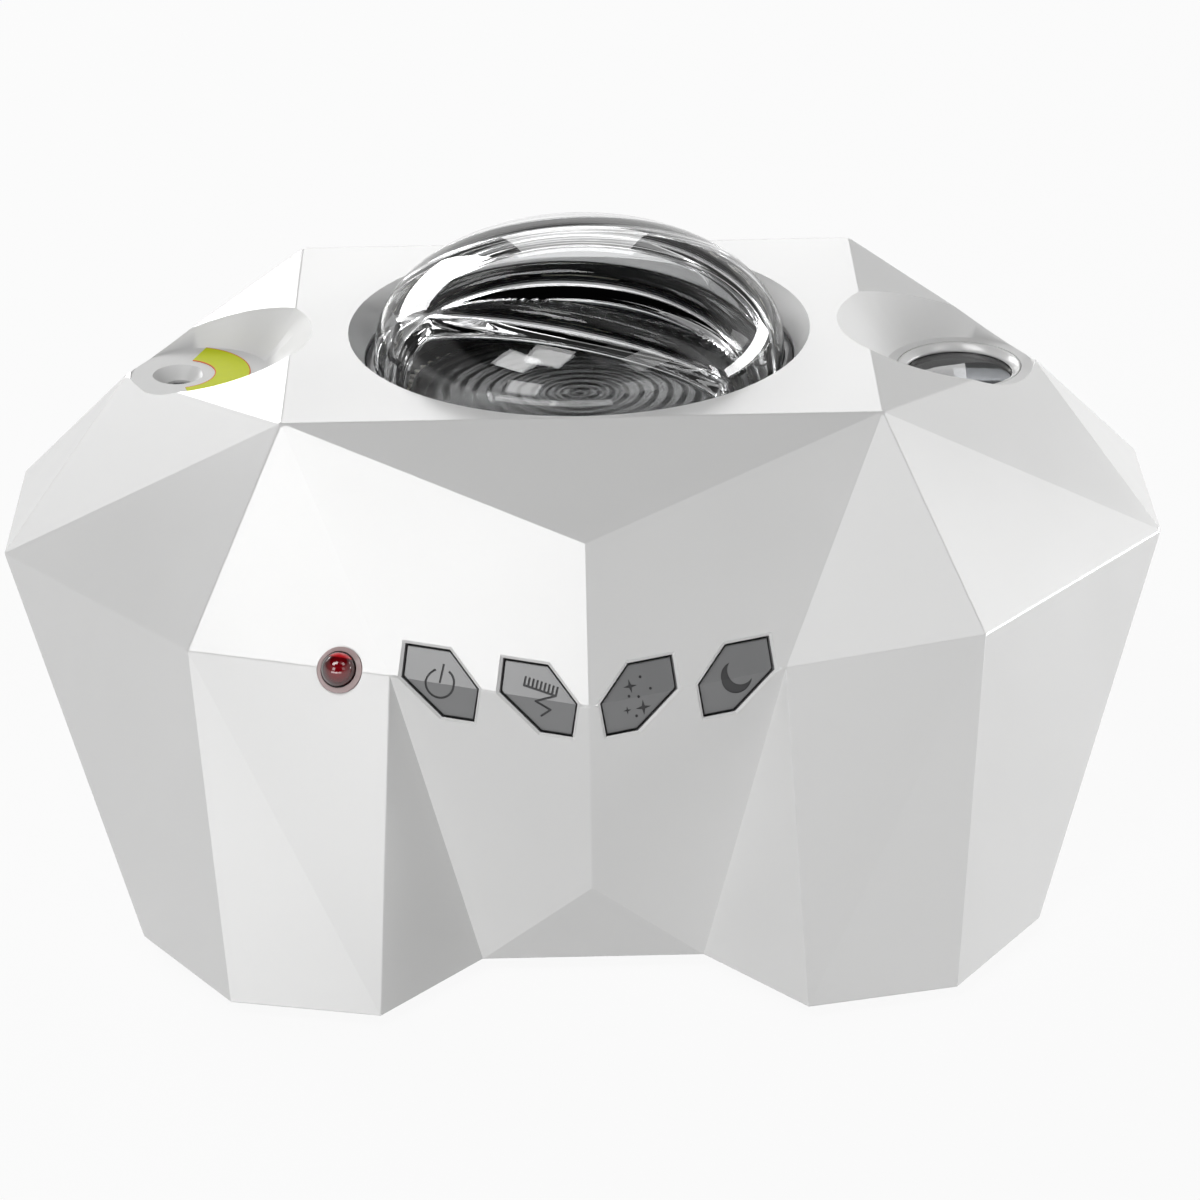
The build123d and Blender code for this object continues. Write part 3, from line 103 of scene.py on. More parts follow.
# Points nearer than this are one point; triangles that lean less than this are one facet.
WELD = 2e-6
FACET_LEAN = math.radians(0.4)
# Edges sharper than this stay sharp, in degrees: on most pieces, the shell, the keys and the lenses.
SHARP = 30.0
SHELL_SHARP = 19.0
KEY_SHARP = 8.0
LENS_SHARP = 35.0


# ------------------------------------------------------------------ shader maths
class Value:
    """What a socket puts out, so that sums of shader values read as sums."""

    def __init__(self, finish, node, output=0):
        self.finish, self.node = finish, node
        self.socket = node.outputs[output] if node.outputs else None

    def pick(self, output):
        return Value(self.finish, self.node, output)

    def _math(self, operation, *others):
        return self.finish.node("ShaderNodeMath", {"operation": operation}, dict(enumerate(others)))

    def __add__(self, other):
        return self._math("ADD", self, other)

    def __mul__(self, other):
        return self._math("MULTIPLY", self, other)

    def __sub__(self, other):
        return self._math("SUBTRACT", self, other)

    def __gt__(self, other):
        return self._math("GREATER_THAN", self, other)

    def __lt__(self, other):
        return self._math("LESS_THAN", self, other)

    __radd__ = __add__

    def power(self, other):
        return self._math("POWER", self, other)

    def either(self, other):
        return self._math("MAXIMUM", self, other)


class Finish:
    """A material and its node tree."""

    def __init__(self, name):
        self.material = bpy.data.materials.new(name)
        self.material.use_nodes = True
        self.tree = self.material.node_tree
        self.tree.nodes.clear()

    def node(self, kind, settings=None, sockets=None):
        """Any node: its settings are set first, then the values or links of its sockets."""
        made = self.tree.nodes.new(kind)
        for name, value in (settings or {}).items():
            if name == "stops":
                ramp = made.color_ramp
                while len(ramp.elements) > 1:
                    ramp.elements.remove(ramp.elements[-1])
                ramp.elements[0].position, ramp.elements[0].color = value[0]
                for place, colour in value[1:]:
                    ramp.elements.new(place).color = colour
            else:
                setattr(made, name, value)
        for name, value in (sockets or {}).items():
            if isinstance(value, Value):
                self.tree.links.new(value.socket, made.inputs[name])
            else:
                made.inputs[name].default_value = value
        return Value(self, made)

    def place(self):
        """The point on the object, in metres."""
        return self.node("ShaderNodeTexCoord").pick("Object")

    def noise(self, scale, detail=3.0, vector=None):
        sockets = {"Vector": vector or self.place(), "Scale": scale, "Detail": detail}
        return self.node("ShaderNodeTexNoise", {}, sockets)

    def blend(self, share, low, high):
        """Two colours mixed by a value."""
        mixed = self.node("ShaderNodeMix", {"data_type": "RGBA"}, {0: share, 6: low, 7: high})
        return mixed.pick(2)

    def fade(self, value, start, end):
        """From 0 at the start to 1 at the end, softly."""
        settings = {"interpolation_type": "SMOOTHSTEP"}
        return self.node("ShaderNodeMapRange", settings, {"Value": value, "From Min": start, "From Max": end})

    def bump(self, depth, distance, strength=1.0):
        sockets = {"Height": depth, "Distance": distance, "Strength": strength}
        return self.node("ShaderNodeBump", {}, sockets)

    def surface(self, **sockets):
        """The Principled surface as the material's output."""
        named = {name.replace("_", " "): value for name, value in sockets.items()}
        body = self.node("ShaderNodeBsdfPrincipled", {}, named)
        return self.output(body)

    def output(self, body):
        self.node("ShaderNodeOutputMaterial", {}, {"Surface": body})
        return self.material


class Room(Finish):
    """The world's node tree, written with the same sums."""

    def __init__(self, world):
        world.use_nodes = True
        self.tree = world.node_tree
        self.tree.nodes.clear()


def rgb(red, green=None, blue=None):
    """A linear colour; one number makes a grey."""
    if green is None:
        green = blue = red
    return (red, green, blue, 1.0)


FINISHES = {}


def finish_named(name):
    """Makes a finish once, and hands out the same one after that."""
    if name not in FINISHES:
        if name in PLASTICS:
            FINISHES[name] = moulded(name, **PLASTICS[name])
        elif name in METALS:
            FINISHES[name] = metal(name, *METALS[name])
        elif name in GLASSES:
            FINISHES[name] = glass(name, GLASSES[name])
        else:
            FINISHES[name] = MAKERS[name]()
    return FINISHES[name]


# ------------------------------------------------------------------ finishes
# Moulded plastics. A colour is linear, or the name of the body setting that holds it.
PLASTICS = {
    "shell_white": {"colour": "shell_colour", "roughness": 0.22, "grain": 0.003, "specular": 1.0},
    "shell_satin": {"colour": "shell_colour", "roughness": 0.45, "grain": 0.004, "specular": 0.4},
    "key_grey": {"colour": "key_colour", "roughness": 0.33, "grain": 0.003, "specular": 1.0},
    # The key signs' near-black is painted shade in the engraved lines.
    "key_sign": {"colour": (0.045, 0.045, 0.047), "roughness": 0.5},
    "mouth_grey": {"colour": (0.34, 0.34, 0.345), "roughness": 0.4},
    "black_plastic": {"colour": (0.012, 0.012, 0.013), "roughness": 0.35},
    "ring_dark": {"colour": (0.03, 0.03, 0.033), "roughness": 0.3},
    "base_grey": {"colour": (0.62, 0.62, 0.61), "roughness": 0.55, "grain": 0.02, "grain_scale": 1400.0},
    "nylon": {"colour": (0.72, 0.70, 0.62), "roughness": 0.45},
    "chip_black": {"colour": (0.02, 0.02, 0.022), "roughness": 0.5},
    "rubber": {"colour": (0.035, 0.035, 0.037), "roughness": 0.8, "grain": 0.03, "grain_scale": 900.0,
               "shade": 0.12},
    "white_mask": {"colour": (0.78, 0.78, 0.75), "roughness": 0.3},
}
# Metals: linear colour, roughness, and how the fine lines are stretched along x, y and z.
METALS = {
    "screw_steel": ((0.55, 0.55, 0.56), 0.22, (1, 1, 1)),
    "motor_steel": ((0.60, 0.60, 0.61), 0.2, (0.1, 0.1, 2)),
    "brass": ((0.72, 0.50, 0.20), 0.2, (0.2, 0.2, 3)),
    "sink_aluminium": ((0.70, 0.71, 0.72), 0.3, (3, 0.1, 1)),
}
GLASSES = {"lens_clear": (0.93, 0.95, 0.96), "moon_glass": (0.55, 0.57, 0.60)}


def moulded(name, colour, roughness, grain=0.006, grain_scale=2600.0, shade=0.03, specular=0.5):
    """Moulded plastic: a fine sparked grain in millimetres, a little unevenness of gloss and tone."""
    if isinstance(colour, str):
        colour = tuple(getattr(bpy.context.scene.projector_body, colour))
    make = Finish(name)
    grain_noise = make.noise(grain_scale, 2.0)
    cloud = make.noise(38.0, 2.0)
    dark = rgb(*(part * (1 - shade) for part in colour))
    light = rgb(*(min(1, part * (1 + shade)) for part in colour))
    tone = make.blend(cloud, dark, light)
    uneven = 0.1
    rough = roughness - uneven / 2 + cloud * uneven
    normal = make.bump(grain_noise, grain * MM)
    return make.surface(Base_Color=tone, Roughness=rough, Normal=normal, Specular_IOR_Level=specular)


def metal(name, colour, roughness, stretch):
    """Drawn or turned metal: fine lines one way, faint smears."""
    make = Finish(name)
    stretched = make.node("ShaderNodeMapping", {}, {"Vector": make.place(), "Scale": stretch})
    lines = make.noise(900.0, 3.0, stretched)
    smear = make.noise(60.0, 2.0)
    tone = make.blend(smear, rgb(*(part * 0.9 for part in colour)), rgb(*colour))
    rough = roughness + lines * 0.12
    return make.surface(Base_Color=tone, Metallic=1.0, Roughness=rough, Normal=make.bump(lines, 0.002 * MM))


def glass(name, colour):
    """Clear moulded plastic or glass with faint flow lines."""
    make = Finish(name)
    normal = make.bump(make.noise(45.0, 1.5), 0.05 * MM, 0.3)
    return make.surface(Base_Color=rgb(*colour), Roughness=0.02, Transmission_Weight=1.0, IOR=1.5,
                        Normal=normal)


def board_green():
    """Solder mask with copper lands showing faintly under it."""
    make = Finish("board_green")
    tracks = make.node("ShaderNodeTexBrick", {"offset": 0.37}, {
        "Vector": make.place(), "Scale": 260.0, "Mortar Size": 0.045, "Mortar Smooth": 0.1,
        "Brick Width": 0.9, "Row Height": 0.31,
    }).pick("Fac")
    tone = make.blend(tracks, rgb(0.012, 0.085, 0.035), rgb(0.02, 0.15, 0.06))
    return make.surface(Base_Color=tone, Roughness=0.25 + tracks * 0.1, Normal=make.bump(tracks, 0.03 * MM))


def led_phosphor():
    """Yellow phosphor with fine specks."""
    make = Finish("led_phosphor")
    speck = make.noise(3000.0, 2.0)
    tone = make.blend(speck, rgb(0.80, 0.72, 0.30), rgb(0.90, 0.83, 0.42))
    return make.surface(Base_Color=tone, Roughness=0.35 + speck * 0.1)


def dome_clear():
    """Polished clear plastic, with a faint haze here and there."""
    make = Finish("dome_clear")
    haze = make.noise(30.0, 2.0)
    tint = make.blend(haze, rgb(0.96, 0.965, 0.97), rgb(0.98, 0.985, 0.99))
    rough = (haze - 0.62).either(0.0) * 0.12
    return make.surface(Base_Color=tint, Roughness=rough, Transmission_Weight=1.0, IOR=1.49)


def smoke_clear():
    """The smoky disc under the dome: its ripples show softly."""
    make = Finish("smoke_clear")
    haze = make.noise(60.0, 2.0)
    tint = make.blend(haze, rgb(0.10), rgb(0.16))
    rough = 0.16 + haze * 0.1
    return make.surface(Base_Color=tint, Roughness=rough, Transmission_Weight=1.0, IOR=1.4,
                        Specular_IOR_Level=0.2)


def slide_glass():
    """The slide's grey disc of light and dark patches, without a real picture."""
    make = Finish("slide_glass")
    patch = make.noise(420.0, 6.0)
    tone = make.blend(patch, rgb(0.05), rgb(0.5))
    return make.surface(Base_Color=tone, Roughness=0.1 + patch * 0.1)


def ir_red():
    """Deep red dome: painted shade makes it black towards its edge, and a painted highlight makes a bright
    curved band near the top, where light comes back.
    """
    make = Finish("ir_red")
    place = receiver_plane()
    up = place.to_3x3().col[1]
    height = make.node("ShaderNodeVectorMath", {"operation": "DOT_PRODUCT"}, {0: make.place(), 1: up}).pick(1)
    height = height - place.translation.dot(up)
    facing = make.node("ShaderNodeLayerWeight", {}, {"Blend": 0.5}).pick(1)
    # Painted shade: the red darkens to black as the surface turns away from the camera.
    stops = ((0.0, rgb(0.22, 0.0, 0.004)), (0.3, rgb(0.10, 0.0, 0.002)), (0.62, rgb(0.02, 0.0, 0.0)),
             (0.85, rgb(0.003, 0.0, 0.0)))
    deep = make.node("ShaderNodeValToRGB", {"stops": stops}, {0: facing})
    # Painted highlight: a bright red band near the top, kept off the darkened edge.
    top_painted_highlight = make.fade(height, 1.35 * MM, 1.75 * MM) * make.fade(facing, 0.85, 0.6)
    tone = make.blend(top_painted_highlight, deep, rgb(0.85, 0.02, 0.03))
    speck = make.noise(500.0, 1.0)
    return make.surface(Base_Color=tone, Roughness=0.03 + speck * 0.03, Coat_Weight=1.0, Coat_Roughness=0.02)


def ir_ring():
    """The clear pinkish collar of the receiver's dome."""
    make = Finish("ir_ring")
    cloud = make.noise(400.0, 1.0)
    tone = make.blend(cloud, rgb(0.86, 0.66, 0.66), rgb(0.90, 0.72, 0.71))
    return make.surface(Base_Color=tone, Roughness=0.12 + cloud * 0.05, Transmission_Weight=0.45)


def sticker_film():
    """Yellow film with a thin orange-red line along its curved edges."""
    make = Finish("sticker_film")
    props = bpy.context.scene.projector_pockets
    spot = make.node("ShaderNodeSeparateXYZ", {}, {0: make.place()})
    across, along = spot - props.laser_x, spot.pick("Y")
    away = (across.power(2) + along.power(2)).power(0.5)
    line = props.sticker_line
    edge = (away > props.sticker_outer - line).either(away < props.sticker_inner + line)
    fade = make.noise(700.0, 2.0)
    yellow = make.blend(fade, rgb(0.62, 0.69, 0.0), rgb(0.68, 0.75, 0.002))
    tone = make.blend(edge, yellow, rgb(0.75, 0.16, 0.03))
    return make.surface(Base_Color=tone, Roughness=0.45 + fade * 0.15, Normal=make.bump(fade, 0.004 * MM),
                        Specular_IOR_Level=0.25)


MAKERS = {maker.__name__: maker for maker in (
    board_green, led_phosphor, dome_clear, smoke_clear, slide_glass, ir_red, ir_ring, sticker_film)}


# ------------------------------------------------------------------ mesh helpers
def body_of_node(node):
    for body, members in frame["record"]["behaviour"]["bodies"].items():
        if node in members:
            return body
    raise RuntimeError("no body holds " + node)


def slot_of_node(node):
    for entry in frame["record"]["subparts"]:
        if entry["node"] == node:
            return entry["material_slot"]
    raise RuntimeError("no subpart entry for " + node)


def merged_copy(node):
    """A node's mesh as a bmesh with its loose triangles joined and flat facets made whole."""
    mesh = bmesh.new()
    mesh.from_mesh(NODES[node].data)
    bmesh.ops.remove_doubles(mesh, verts=mesh.verts, dist=WELD)
    bmesh.ops.dissolve_limit(mesh, angle_limit=FACET_LEAN, verts=mesh.verts, edges=mesh.edges)
    return mesh


def plain_object(name, mesh):
    """A new object at the origin from a bmesh, without a finish."""
    data = bpy.data.meshes.new(name)
    mesh.to_mesh(data)
    mesh.free()
    made = bpy.data.objects.new(name, data)
    bpy.context.scene.collection.objects.link(made)
    return made


def finished_object(name, mesh, *finishes, sharp=SHARP):
    """A new object with its finishes, smooth shaded but for its sharp edges."""
    made = plain_object(name, mesh)
    for finish in finishes:
        made.data.materials.append(finish_named(finish))
    shade(made, sharp)
    return made


def shade(made, sharp):
    """Smooth, with the edges kept sharp that fold by more than an angle in degrees."""
    data = made.data
    data.polygons.foreach_set("use_smooth", [True] * len(data.polygons))
    data.set_sharp_from_angle(angle=math.radians(sharp))


def bake_modifiers(made):
    """Makes what the modifiers give the object's own mesh."""
    bpy.context.view_layer.update()
    graph = bpy.context.evaluated_depsgraph_get()
    data = bpy.data.meshes.new_from_object(made.evaluated_get(graph))
    made.modifiers.clear()
    made.data = data


def modify(made, kind, **settings):
    """Runs one modifier on an object's mesh."""
    modifier = made.modifiers.new(kind.lower(), kind)
    for name, value in settings.items():
        setattr(modifier, name, value)
    bake_modifiers(made)


def corner(name, side=1, end=1):
    """A corner of the shell in metres, mirrored for the other side or end."""
    x, y, drop = CORNERS[name]
    return Vector((x * side * MM, y * end * MM, DECK_Z - drop * MM))


def faceted_form(swell):
    """The shell's closed outer form, swollen a little from its middle."""
    quarter = (
        ("peak", "nose", "brow", "deck"), ("deck", "brow", "shoulder"), ("deck", "shoulder", "side"),
        ("deck", "side", "ear"), ("brow", "sole_front", "toe"), ("brow", "shoulder", "sole_front"),
        ("shoulder", "sole_corner", "sole_front"), ("shoulder", "side", "sole_side", "sole_corner"),
        ("nose", "brow", "toe", "chin"),
    )
    loops = [[corner(n, sx, sy) for n in names] for sx in (1, -1) for sy in (1, -1) for names in quarter]
    for end in (1, -1):
        loops.append([corner("deck", 1, end), corner("peak", 1, end), corner("deck", -1, end)])
        loops.append([corner("chin", 1, end), corner("toe", 1, end), corner("toe", -1, end)])
    for side in (1, -1):
        loops.append([corner("ear", side), corner("side", side), corner("side", side, -1)])
        loops.append([corner("deck", side), corner("ear", side), corner("deck", side, -1)])
        places = (("side", 1), ("side", -1), ("sole_side", -1), ("sole_side", 1))
        loops.append([corner(name, side, end) for name, end in places])
    loops.append([corner("deck", side, end) for side, end in ((1, 1), (-1, 1), (-1, -1), (1, -1))])
    sole = ("toe", "sole_front", "sole_corner", "sole_side")
    right = [corner(n) for n in sole] + [corner(n, 1, -1) for n in reversed(sole)]
    loops.append(right + [Vector((-p.x, p.y, p.z)) for p in reversed(right)])
    mesh = bmesh.new()
    for loop in loops:
        mesh.faces.new([mesh.verts.new(point) for point in loop])
    bmesh.ops.remove_doubles(mesh, verts=mesh.verts, dist=0.02 * MM)
    bmesh.ops.recalc_face_normals(mesh, faces=mesh.faces)
    middle = Vector((0, 0, (DECK_Z + SOLE_Z) / 2))
    for vertex in mesh.verts:
        vertex.co = middle + (vertex.co - middle) * (1 + swell)
    return mesh


def carve(made, tool, operation):
    """Cuts a piece by, or down to, a tool, which is then deleted."""
    modify(made, "BOOLEAN", operation=operation, object=tool, solver="EXACT")
    bpy.data.objects.remove(tool)


def even_facets(made, sharp):
    """Facets stay flat, rounds shade smoothly, and edges where finishes meet stay sharp."""
    shade(made, sharp)
    mesh = bmesh.new()
    mesh.from_mesh(made.data)
    for edge in mesh.edges:
        if len({face.material_index for face in edge.link_faces}) > 1:
            edge.smooth = False
    mesh.to_mesh(made.data)
    mesh.free()
    modify(made, "WEIGHTED_NORMAL", keep_sharp=True, weight=100)


def lathe(mesh, profile, steps, shape=None):
    """Turns a profile of (radius, height) about z; radius 0 makes one closed pole."""
    rings = []
    for radius, height in profile:
        if radius < 1e-9:
            pole = Vector((0, 0, height))
            rings.append([mesh.verts.new(shape(pole) if shape else pole)])
            continue
        ring = []
        for step in range(steps):
            angle = 2 * math.pi * step / steps
            place = Vector((radius * math.cos(angle), radius * math.sin(angle), height))
            ring.append(mesh.verts.new(shape(place) if shape else place))
        rings.append(ring)
    for inner, outer in zip(rings, rings[1:]):
        for step in range(steps):
            after = (step + 1) % steps
            corners = [inner[step % len(inner)], outer[step % len(outer)]]
            if len(outer) > 1:
                corners.append(outer[after])
            if len(inner) > 1:
                corners.append(inner[after])
            mesh.faces.new(corners)
    return mesh


def crease_turn(start, end, above, below):
    """Turns (along a front crease, up, outwards) to space, and gives the slope of the fold's sides."""
    along = (end - start).normalized()
    upper = (end - above).cross(start - above).normalized()
    lower = (end - start).cross(below - start).normalized()
    upper = upper if upper.y < 0 else -upper
    lower = lower if lower.y < 0 else -lower
    outwards = (upper + lower).normalized()
    slope = math.tan(math.acos(upper.dot(outwards)))
    return Matrix((along, outwards.cross(along), outwards)).transposed().to_4x4(), slope


def key_plane(side):
    """Matrix from (along the keys' crease, up, outwards) to space, and the fold's slope."""
    turn, slope = crease_turn(corner("nose"), corner("brow"), corner("deck"), corner("toe"))
    place = Matrix.Translation(corner("nose")) @ turn
    return (Matrix.Scale(-1, 4, (1, 0, 0)) @ place if side < 0 else place), slope


def receiver_plane():
    """Matrix from (along the crease, up, outwards) to space, at the receiver's place on its crease."""
    shoulder, brow = corner("shoulder", -1), corner("brow", -1)
    turn, _ = crease_turn(shoulder, brow, corner("deck", -1), corner("sole_front", -1))
    return Matrix.Translation(shoulder.lerp(brow, RECEIVER_SHARE)) @ turn


class KeyFrame:
    """Tells where a point lies beside one key's opening, in millimetres."""

    def __init__(self, side, shift):
        place, slope = key_plane(side)
        self.inverse, self.slope = place.inverted(), slope
        self.hexagon = [Vector((s - shift, t)) for s, t in KEY_HEXAGON]

    def measure(self, point):
        """How far outside the outline, and how deep under the folded surface."""
        along, up, out = (self.inverse @ point) / MM
        depth = -(out + abs(up) * self.slope) / math.hypot(1, self.slope)
        outside = -1000.0
        for start, end in zip(self.hexagon, self.hexagon[1:] + self.hexagon[:1]):
            run = (end - start).normalized()
            outside = max(outside, (Vector((along, up)) - start).dot(Vector((-run.y, run.x))))
        return outside, depth


def grown(outline, amount):
    """A convex outline with every side moved outwards."""
    count = len(outline)
    turning = sum(a[0] * b[1] - b[0] * a[1] for a, b in zip(outline, outline[1:] + outline[:1]))
    hand = 1 if turning > 0 else -1
    moved = []
    for index in range(count):
        before, here, after = (Vector(outline[(index + k) % count]) for k in (-1, 0, 1))
        first, second = (here - before).normalized(), (after - here).normalized()
        out_first = Vector((first.y, -first.x)) * hand
        out_second = Vector((second.y, -second.x)) * hand
        middle = (out_first + out_second).normalized()
        moved.append(tuple(here + middle * (amount / middle.dot(out_first))))
    return moved


def mouth_tool(side, shift, chamfer):
    """A flared plug that chamfers the edge of one key's opening along the fold, in millimetres."""
    place, slope = key_plane(side)
    hexagon = [(s - shift, t) for s, t in KEY_HEXAGON]
    overlap, height = 0.03, 1.5
    levels = ((-overlap, -chamfer), (chamfer, overlap), (chamfer, height))
    mesh = bmesh.new()
    rings = []
    for grow, rise in levels:
        ring = grown(hexagon, grow)
        points = [place @ (Vector((s, t, rise - abs(t) * slope)) * MM) for s, t in ring]
        rings.append([mesh.verts.new(point) for point in points])
    for low, high in zip(rings, rings[1:]):
        for index in range(len(low)):
            after = (index + 1) % len(low)
            mesh.faces.new((low[index], low[after], high[after], high[index]))
    for ring in (rings[0], rings[-1]):
        mesh.faces.new(ring)
    bmesh.ops.triangulate(mesh, faces=[f for f in mesh.faces if len(f.verts) > 4])
    bmesh.ops.recalc_face_normals(mesh, faces=mesh.faces)
    return plain_object("mouth", mesh)


def repeat_on_grid(name, shape, finish, spread, counts):
    """Sets a shape on the points of a grid by Geometry Nodes and hands out one plain mesh."""
    tree = bpy.data.node_groups.new(name, "GeometryNodeTree")
    values = {
        "Width": ("NodeSocketFloat", spread[0]), "Depth": ("NodeSocketFloat", spread[1]),
        "Columns": ("NodeSocketInt", counts[0]), "Rows": ("NodeSocketInt", counts[1]),
        "Shape": ("NodeSocketObject", shape), "Finish": ("NodeSocketMaterial", finish_named(finish)),
    }
    sockets = {label: tree.interface.new_socket(label, in_out="INPUT", socket_type=kind)
               for label, (kind, _) in values.items()}
    tree.interface.new_socket("Geometry", in_out="OUTPUT", socket_type="NodeSocketGeometry")
    enter, leave = tree.nodes.new("NodeGroupInput"), tree.nodes.new("NodeGroupOutput")
    grid, pick, scatter, real, paint = (tree.nodes.new("GeometryNode" + kind) for kind in (
        "MeshGrid", "ObjectInfo", "InstanceOnPoints", "RealizeInstances", "SetMaterial"))
    for source, output, target, socket in (
            (enter, "Width", grid, "Size X"), (enter, "Depth", grid, "Size Y"),
            (enter, "Columns", grid, "Vertices X"), (enter, "Rows", grid, "Vertices Y"),
            (enter, "Shape", pick, "Object"), (grid, "Mesh", scatter, "Points"),
            (pick, "Geometry", scatter, "Instance"), (scatter, "Instances", real, "Geometry"),
            (real, "Geometry", paint, "Geometry"), (enter, "Finish", paint, "Material"),
            (paint, "Geometry", leave, "Geometry")):
        tree.links.new(source.outputs[output], target.inputs[socket])
    made = plain_object(name, bmesh.new())
    nodes = made.modifiers.new("repeat", "NODES")
    nodes.node_group = tree
    for label, (_, value) in values.items():
        nodes[sockets[label].identifier] = value
    bake_modifiers(made)
    bpy.data.objects.remove(shape)
    shade(made, SHARP)
    return made


def stand_for(made, node):
    """The new piece rides with and replaces a CAD node, whose slot is looked up but not given to it."""
    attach(made, body_of_node(node))
    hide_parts(node)
    slot_of_node(node)


def rounded_piece(node, finish, width):
    """A node's shape with its sharp edges rounded by a width in millimetres."""
    made = finished_object(node + "_made", merged_copy(node), finish)
    modify(made, "BEVEL", width=width * MM, segments=2, limit_method="ANGLE",
           angle_limit=math.radians(25.0), use_clamp_overlap=True, loop_slide=False)
    shade(made, SHARP)
    stand_for(made, node)


def dress(node, finish):
    """A node whose shape is right keeps its mesh and gets its finish."""
    data = NODES[node].data
    data.materials.clear()
    data.materials.append(finish_named(finish))


# ------------------------------------------------------------------ settings
class BodySettings(bpy.types.PropertyGroup):
    """Sizes and colours of the shell, base and keys."""

    shell_colour: bpy.props.FloatVectorProperty(
        name="Shell colour", description="Linear colour of the white shell", subtype="COLOR",
        size=3, default=(0.75, 0.75, 0.746), min=0, max=1)
    key_colour: bpy.props.FloatVectorProperty(
        name="Key colour", description="Linear colour of the key caps", subtype="COLOR",
        size=3, default=(0.165, 0.167, 0.17), min=0, max=1)
    crease: bpy.props.FloatProperty(
        name="Crease rounding", description="Width of the rounding along the shell's creases",
        default=0.28 * MM, min=0, unit="LENGTH")
    mouth_chamfer: bpy.props.FloatProperty(
        name="Key mouth chamfer", description="Chamfer round the keys' openings", default=0.42 * MM,
        min=0, unit="LENGTH")
    foot_spread: bpy.props.FloatVectorProperty(
        name="Feet places", description="Half distances between the feet", size=2,
        default=(44.5 * MM, 73.5 * MM), unit="LENGTH")
    foot_radius: bpy.props.FloatProperty(
        name="Foot radius", description="Radius of a foot", default=5.8 * MM, unit="LENGTH")
    foot_edge: bpy.props.FloatProperty(
        name="Foot edge", description="Rounding of a foot's edge", default=0.45 * MM, unit="LENGTH")
    tread_depth: bpy.props.FloatProperty(
        name="Tread depth", description="Depth of the grooves under a foot", default=0.25 * MM, unit="LENGTH")
    treads: bpy.props.IntProperty(name="Treads", description="Grooves under a foot", default=4, min=0)
    screw_spread: bpy.props.FloatVectorProperty(
        name="Screw places", description="Half distances between the base screws", size=2,
        default=(53.5 * MM, 62.0 * MM), unit="LENGTH")
    key_edge: bpy.props.FloatProperty(
        name="Key edge", description="Rounding of the key caps' edges", default=0.1 * MM, min=0,
        unit="LENGTH")


class DomeSettings(bpy.types.PropertyGroup):
    """Sizes of the clear dome."""

    radius: bpy.props.FloatProperty(
        name="Radius", description="Outer radius at the widest line", default=30.7 * MM, unit="LENGTH")
    rise: bpy.props.FloatProperty(
        name="Rise", description="Height above the widest line", default=17.1 * MM, unit="LENGTH")
    drop: bpy.props.FloatProperty(
        name="Widest line", description="How far it lies below the deck", default=2.45 * MM, unit="LENGTH")
    wall: bpy.props.FloatProperty(
        name="Wall", description="Thickness of the dome", default=2.0 * MM, unit="LENGTH")
    flange: bpy.props.FloatProperty(
        name="Flange", description="Thickness of the flange", default=2.0 * MM, unit="LENGTH")
    wave_round: bpy.props.FloatProperty(
        name="Wave round", description="Radius of the waves' section", default=5.5 * MM, unit="LENGTH")
    wave_rise: bpy.props.FloatProperty(
        name="Wave rise", description="How far a wave stands inwards", default=2.4 * MM, unit="LENGTH")
    wave_soft: bpy.props.FloatProperty(
        name="Wave softness", description="Rounding where a wave meets the wall", default=0.35 * MM,
        unit="LENGTH")
    steps: bpy.props.IntProperty(
        name="Steps round", description="Divisions round the dome", default=256, min=24)
    rings: bpy.props.IntProperty(
        name="Rings", description="Divisions from rim to pole inside", default=96, min=8)


class PocketSettings(bpy.types.PropertyGroup):
    """Sizes of the two pockets and what lies in them."""

    laser_x: bpy.props.FloatProperty(
        name="Beam axis", description="Where the laser's axis stands", default=-60.4 * MM, unit="LENGTH")
    sticker_inner: bpy.props.FloatProperty(
        name="Film inner radius", description="Inner edge of the yellow film", default=5.5 * MM,
        unit="LENGTH")
    sticker_outer: bpy.props.FloatProperty(
        name="Film outer radius", description="Outer edge of the yellow film", default=10.85 * MM,
        unit="LENGTH")
    dome_radius: bpy.props.FloatProperty(
        name="Receiver dome", description="Radius of the receiver's red dome", default=2.45 * MM,
        unit="LENGTH")
    collar_radius: bpy.props.FloatProperty(
        name="Receiver collar", description="Radius of its clear collar", default=3.25 * MM, unit="LENGTH")
    sticker_line: bpy.props.FloatProperty(
        name="Film edge line", description="Width of the line along the film's edges",
        default=0.16 * MM, unit="LENGTH")


class StageSettings(bpy.types.PropertyGroup):
    """Camera and light."""

    lens: bpy.props.FloatProperty(
        name="Lens", description="Focal length in millimetres on a 36 mm sensor", default=127.635)
    eye: bpy.props.FloatVectorProperty(
        name="Camera place", description="Where the camera stands", size=3,
        default=(-0.00378, -0.59325, 0.30727), subtype="TRANSLATION")
    pitch: bpy.props.FloatProperty(
        name="Camera tilt", description="How far the camera looks down", default=math.radians(25.55),
        subtype="ANGLE")
    yaw: bpy.props.FloatProperty(
        name="Camera turn", description="How far the camera looks to the right",
        default=math.radians(0.607), subtype="ANGLE")
    roll: bpy.props.FloatProperty(
        name="Camera roll", description="How far the camera leans", default=math.radians(-0.894),
        subtype="ANGLE")
    sky: bpy.props.FloatProperty(
        name="Room light", description="Strength of the even light from all sides", default=0.02, min=0)
    walls: bpy.props.FloatProperty(
        name="Walls", description="Brightness of the room's walls in reflections", default=0.3, min=0)
    window: bpy.props.FloatProperty(
        name="Window", description="Brightness of the bright wall at the right", default=0.35, min=0)


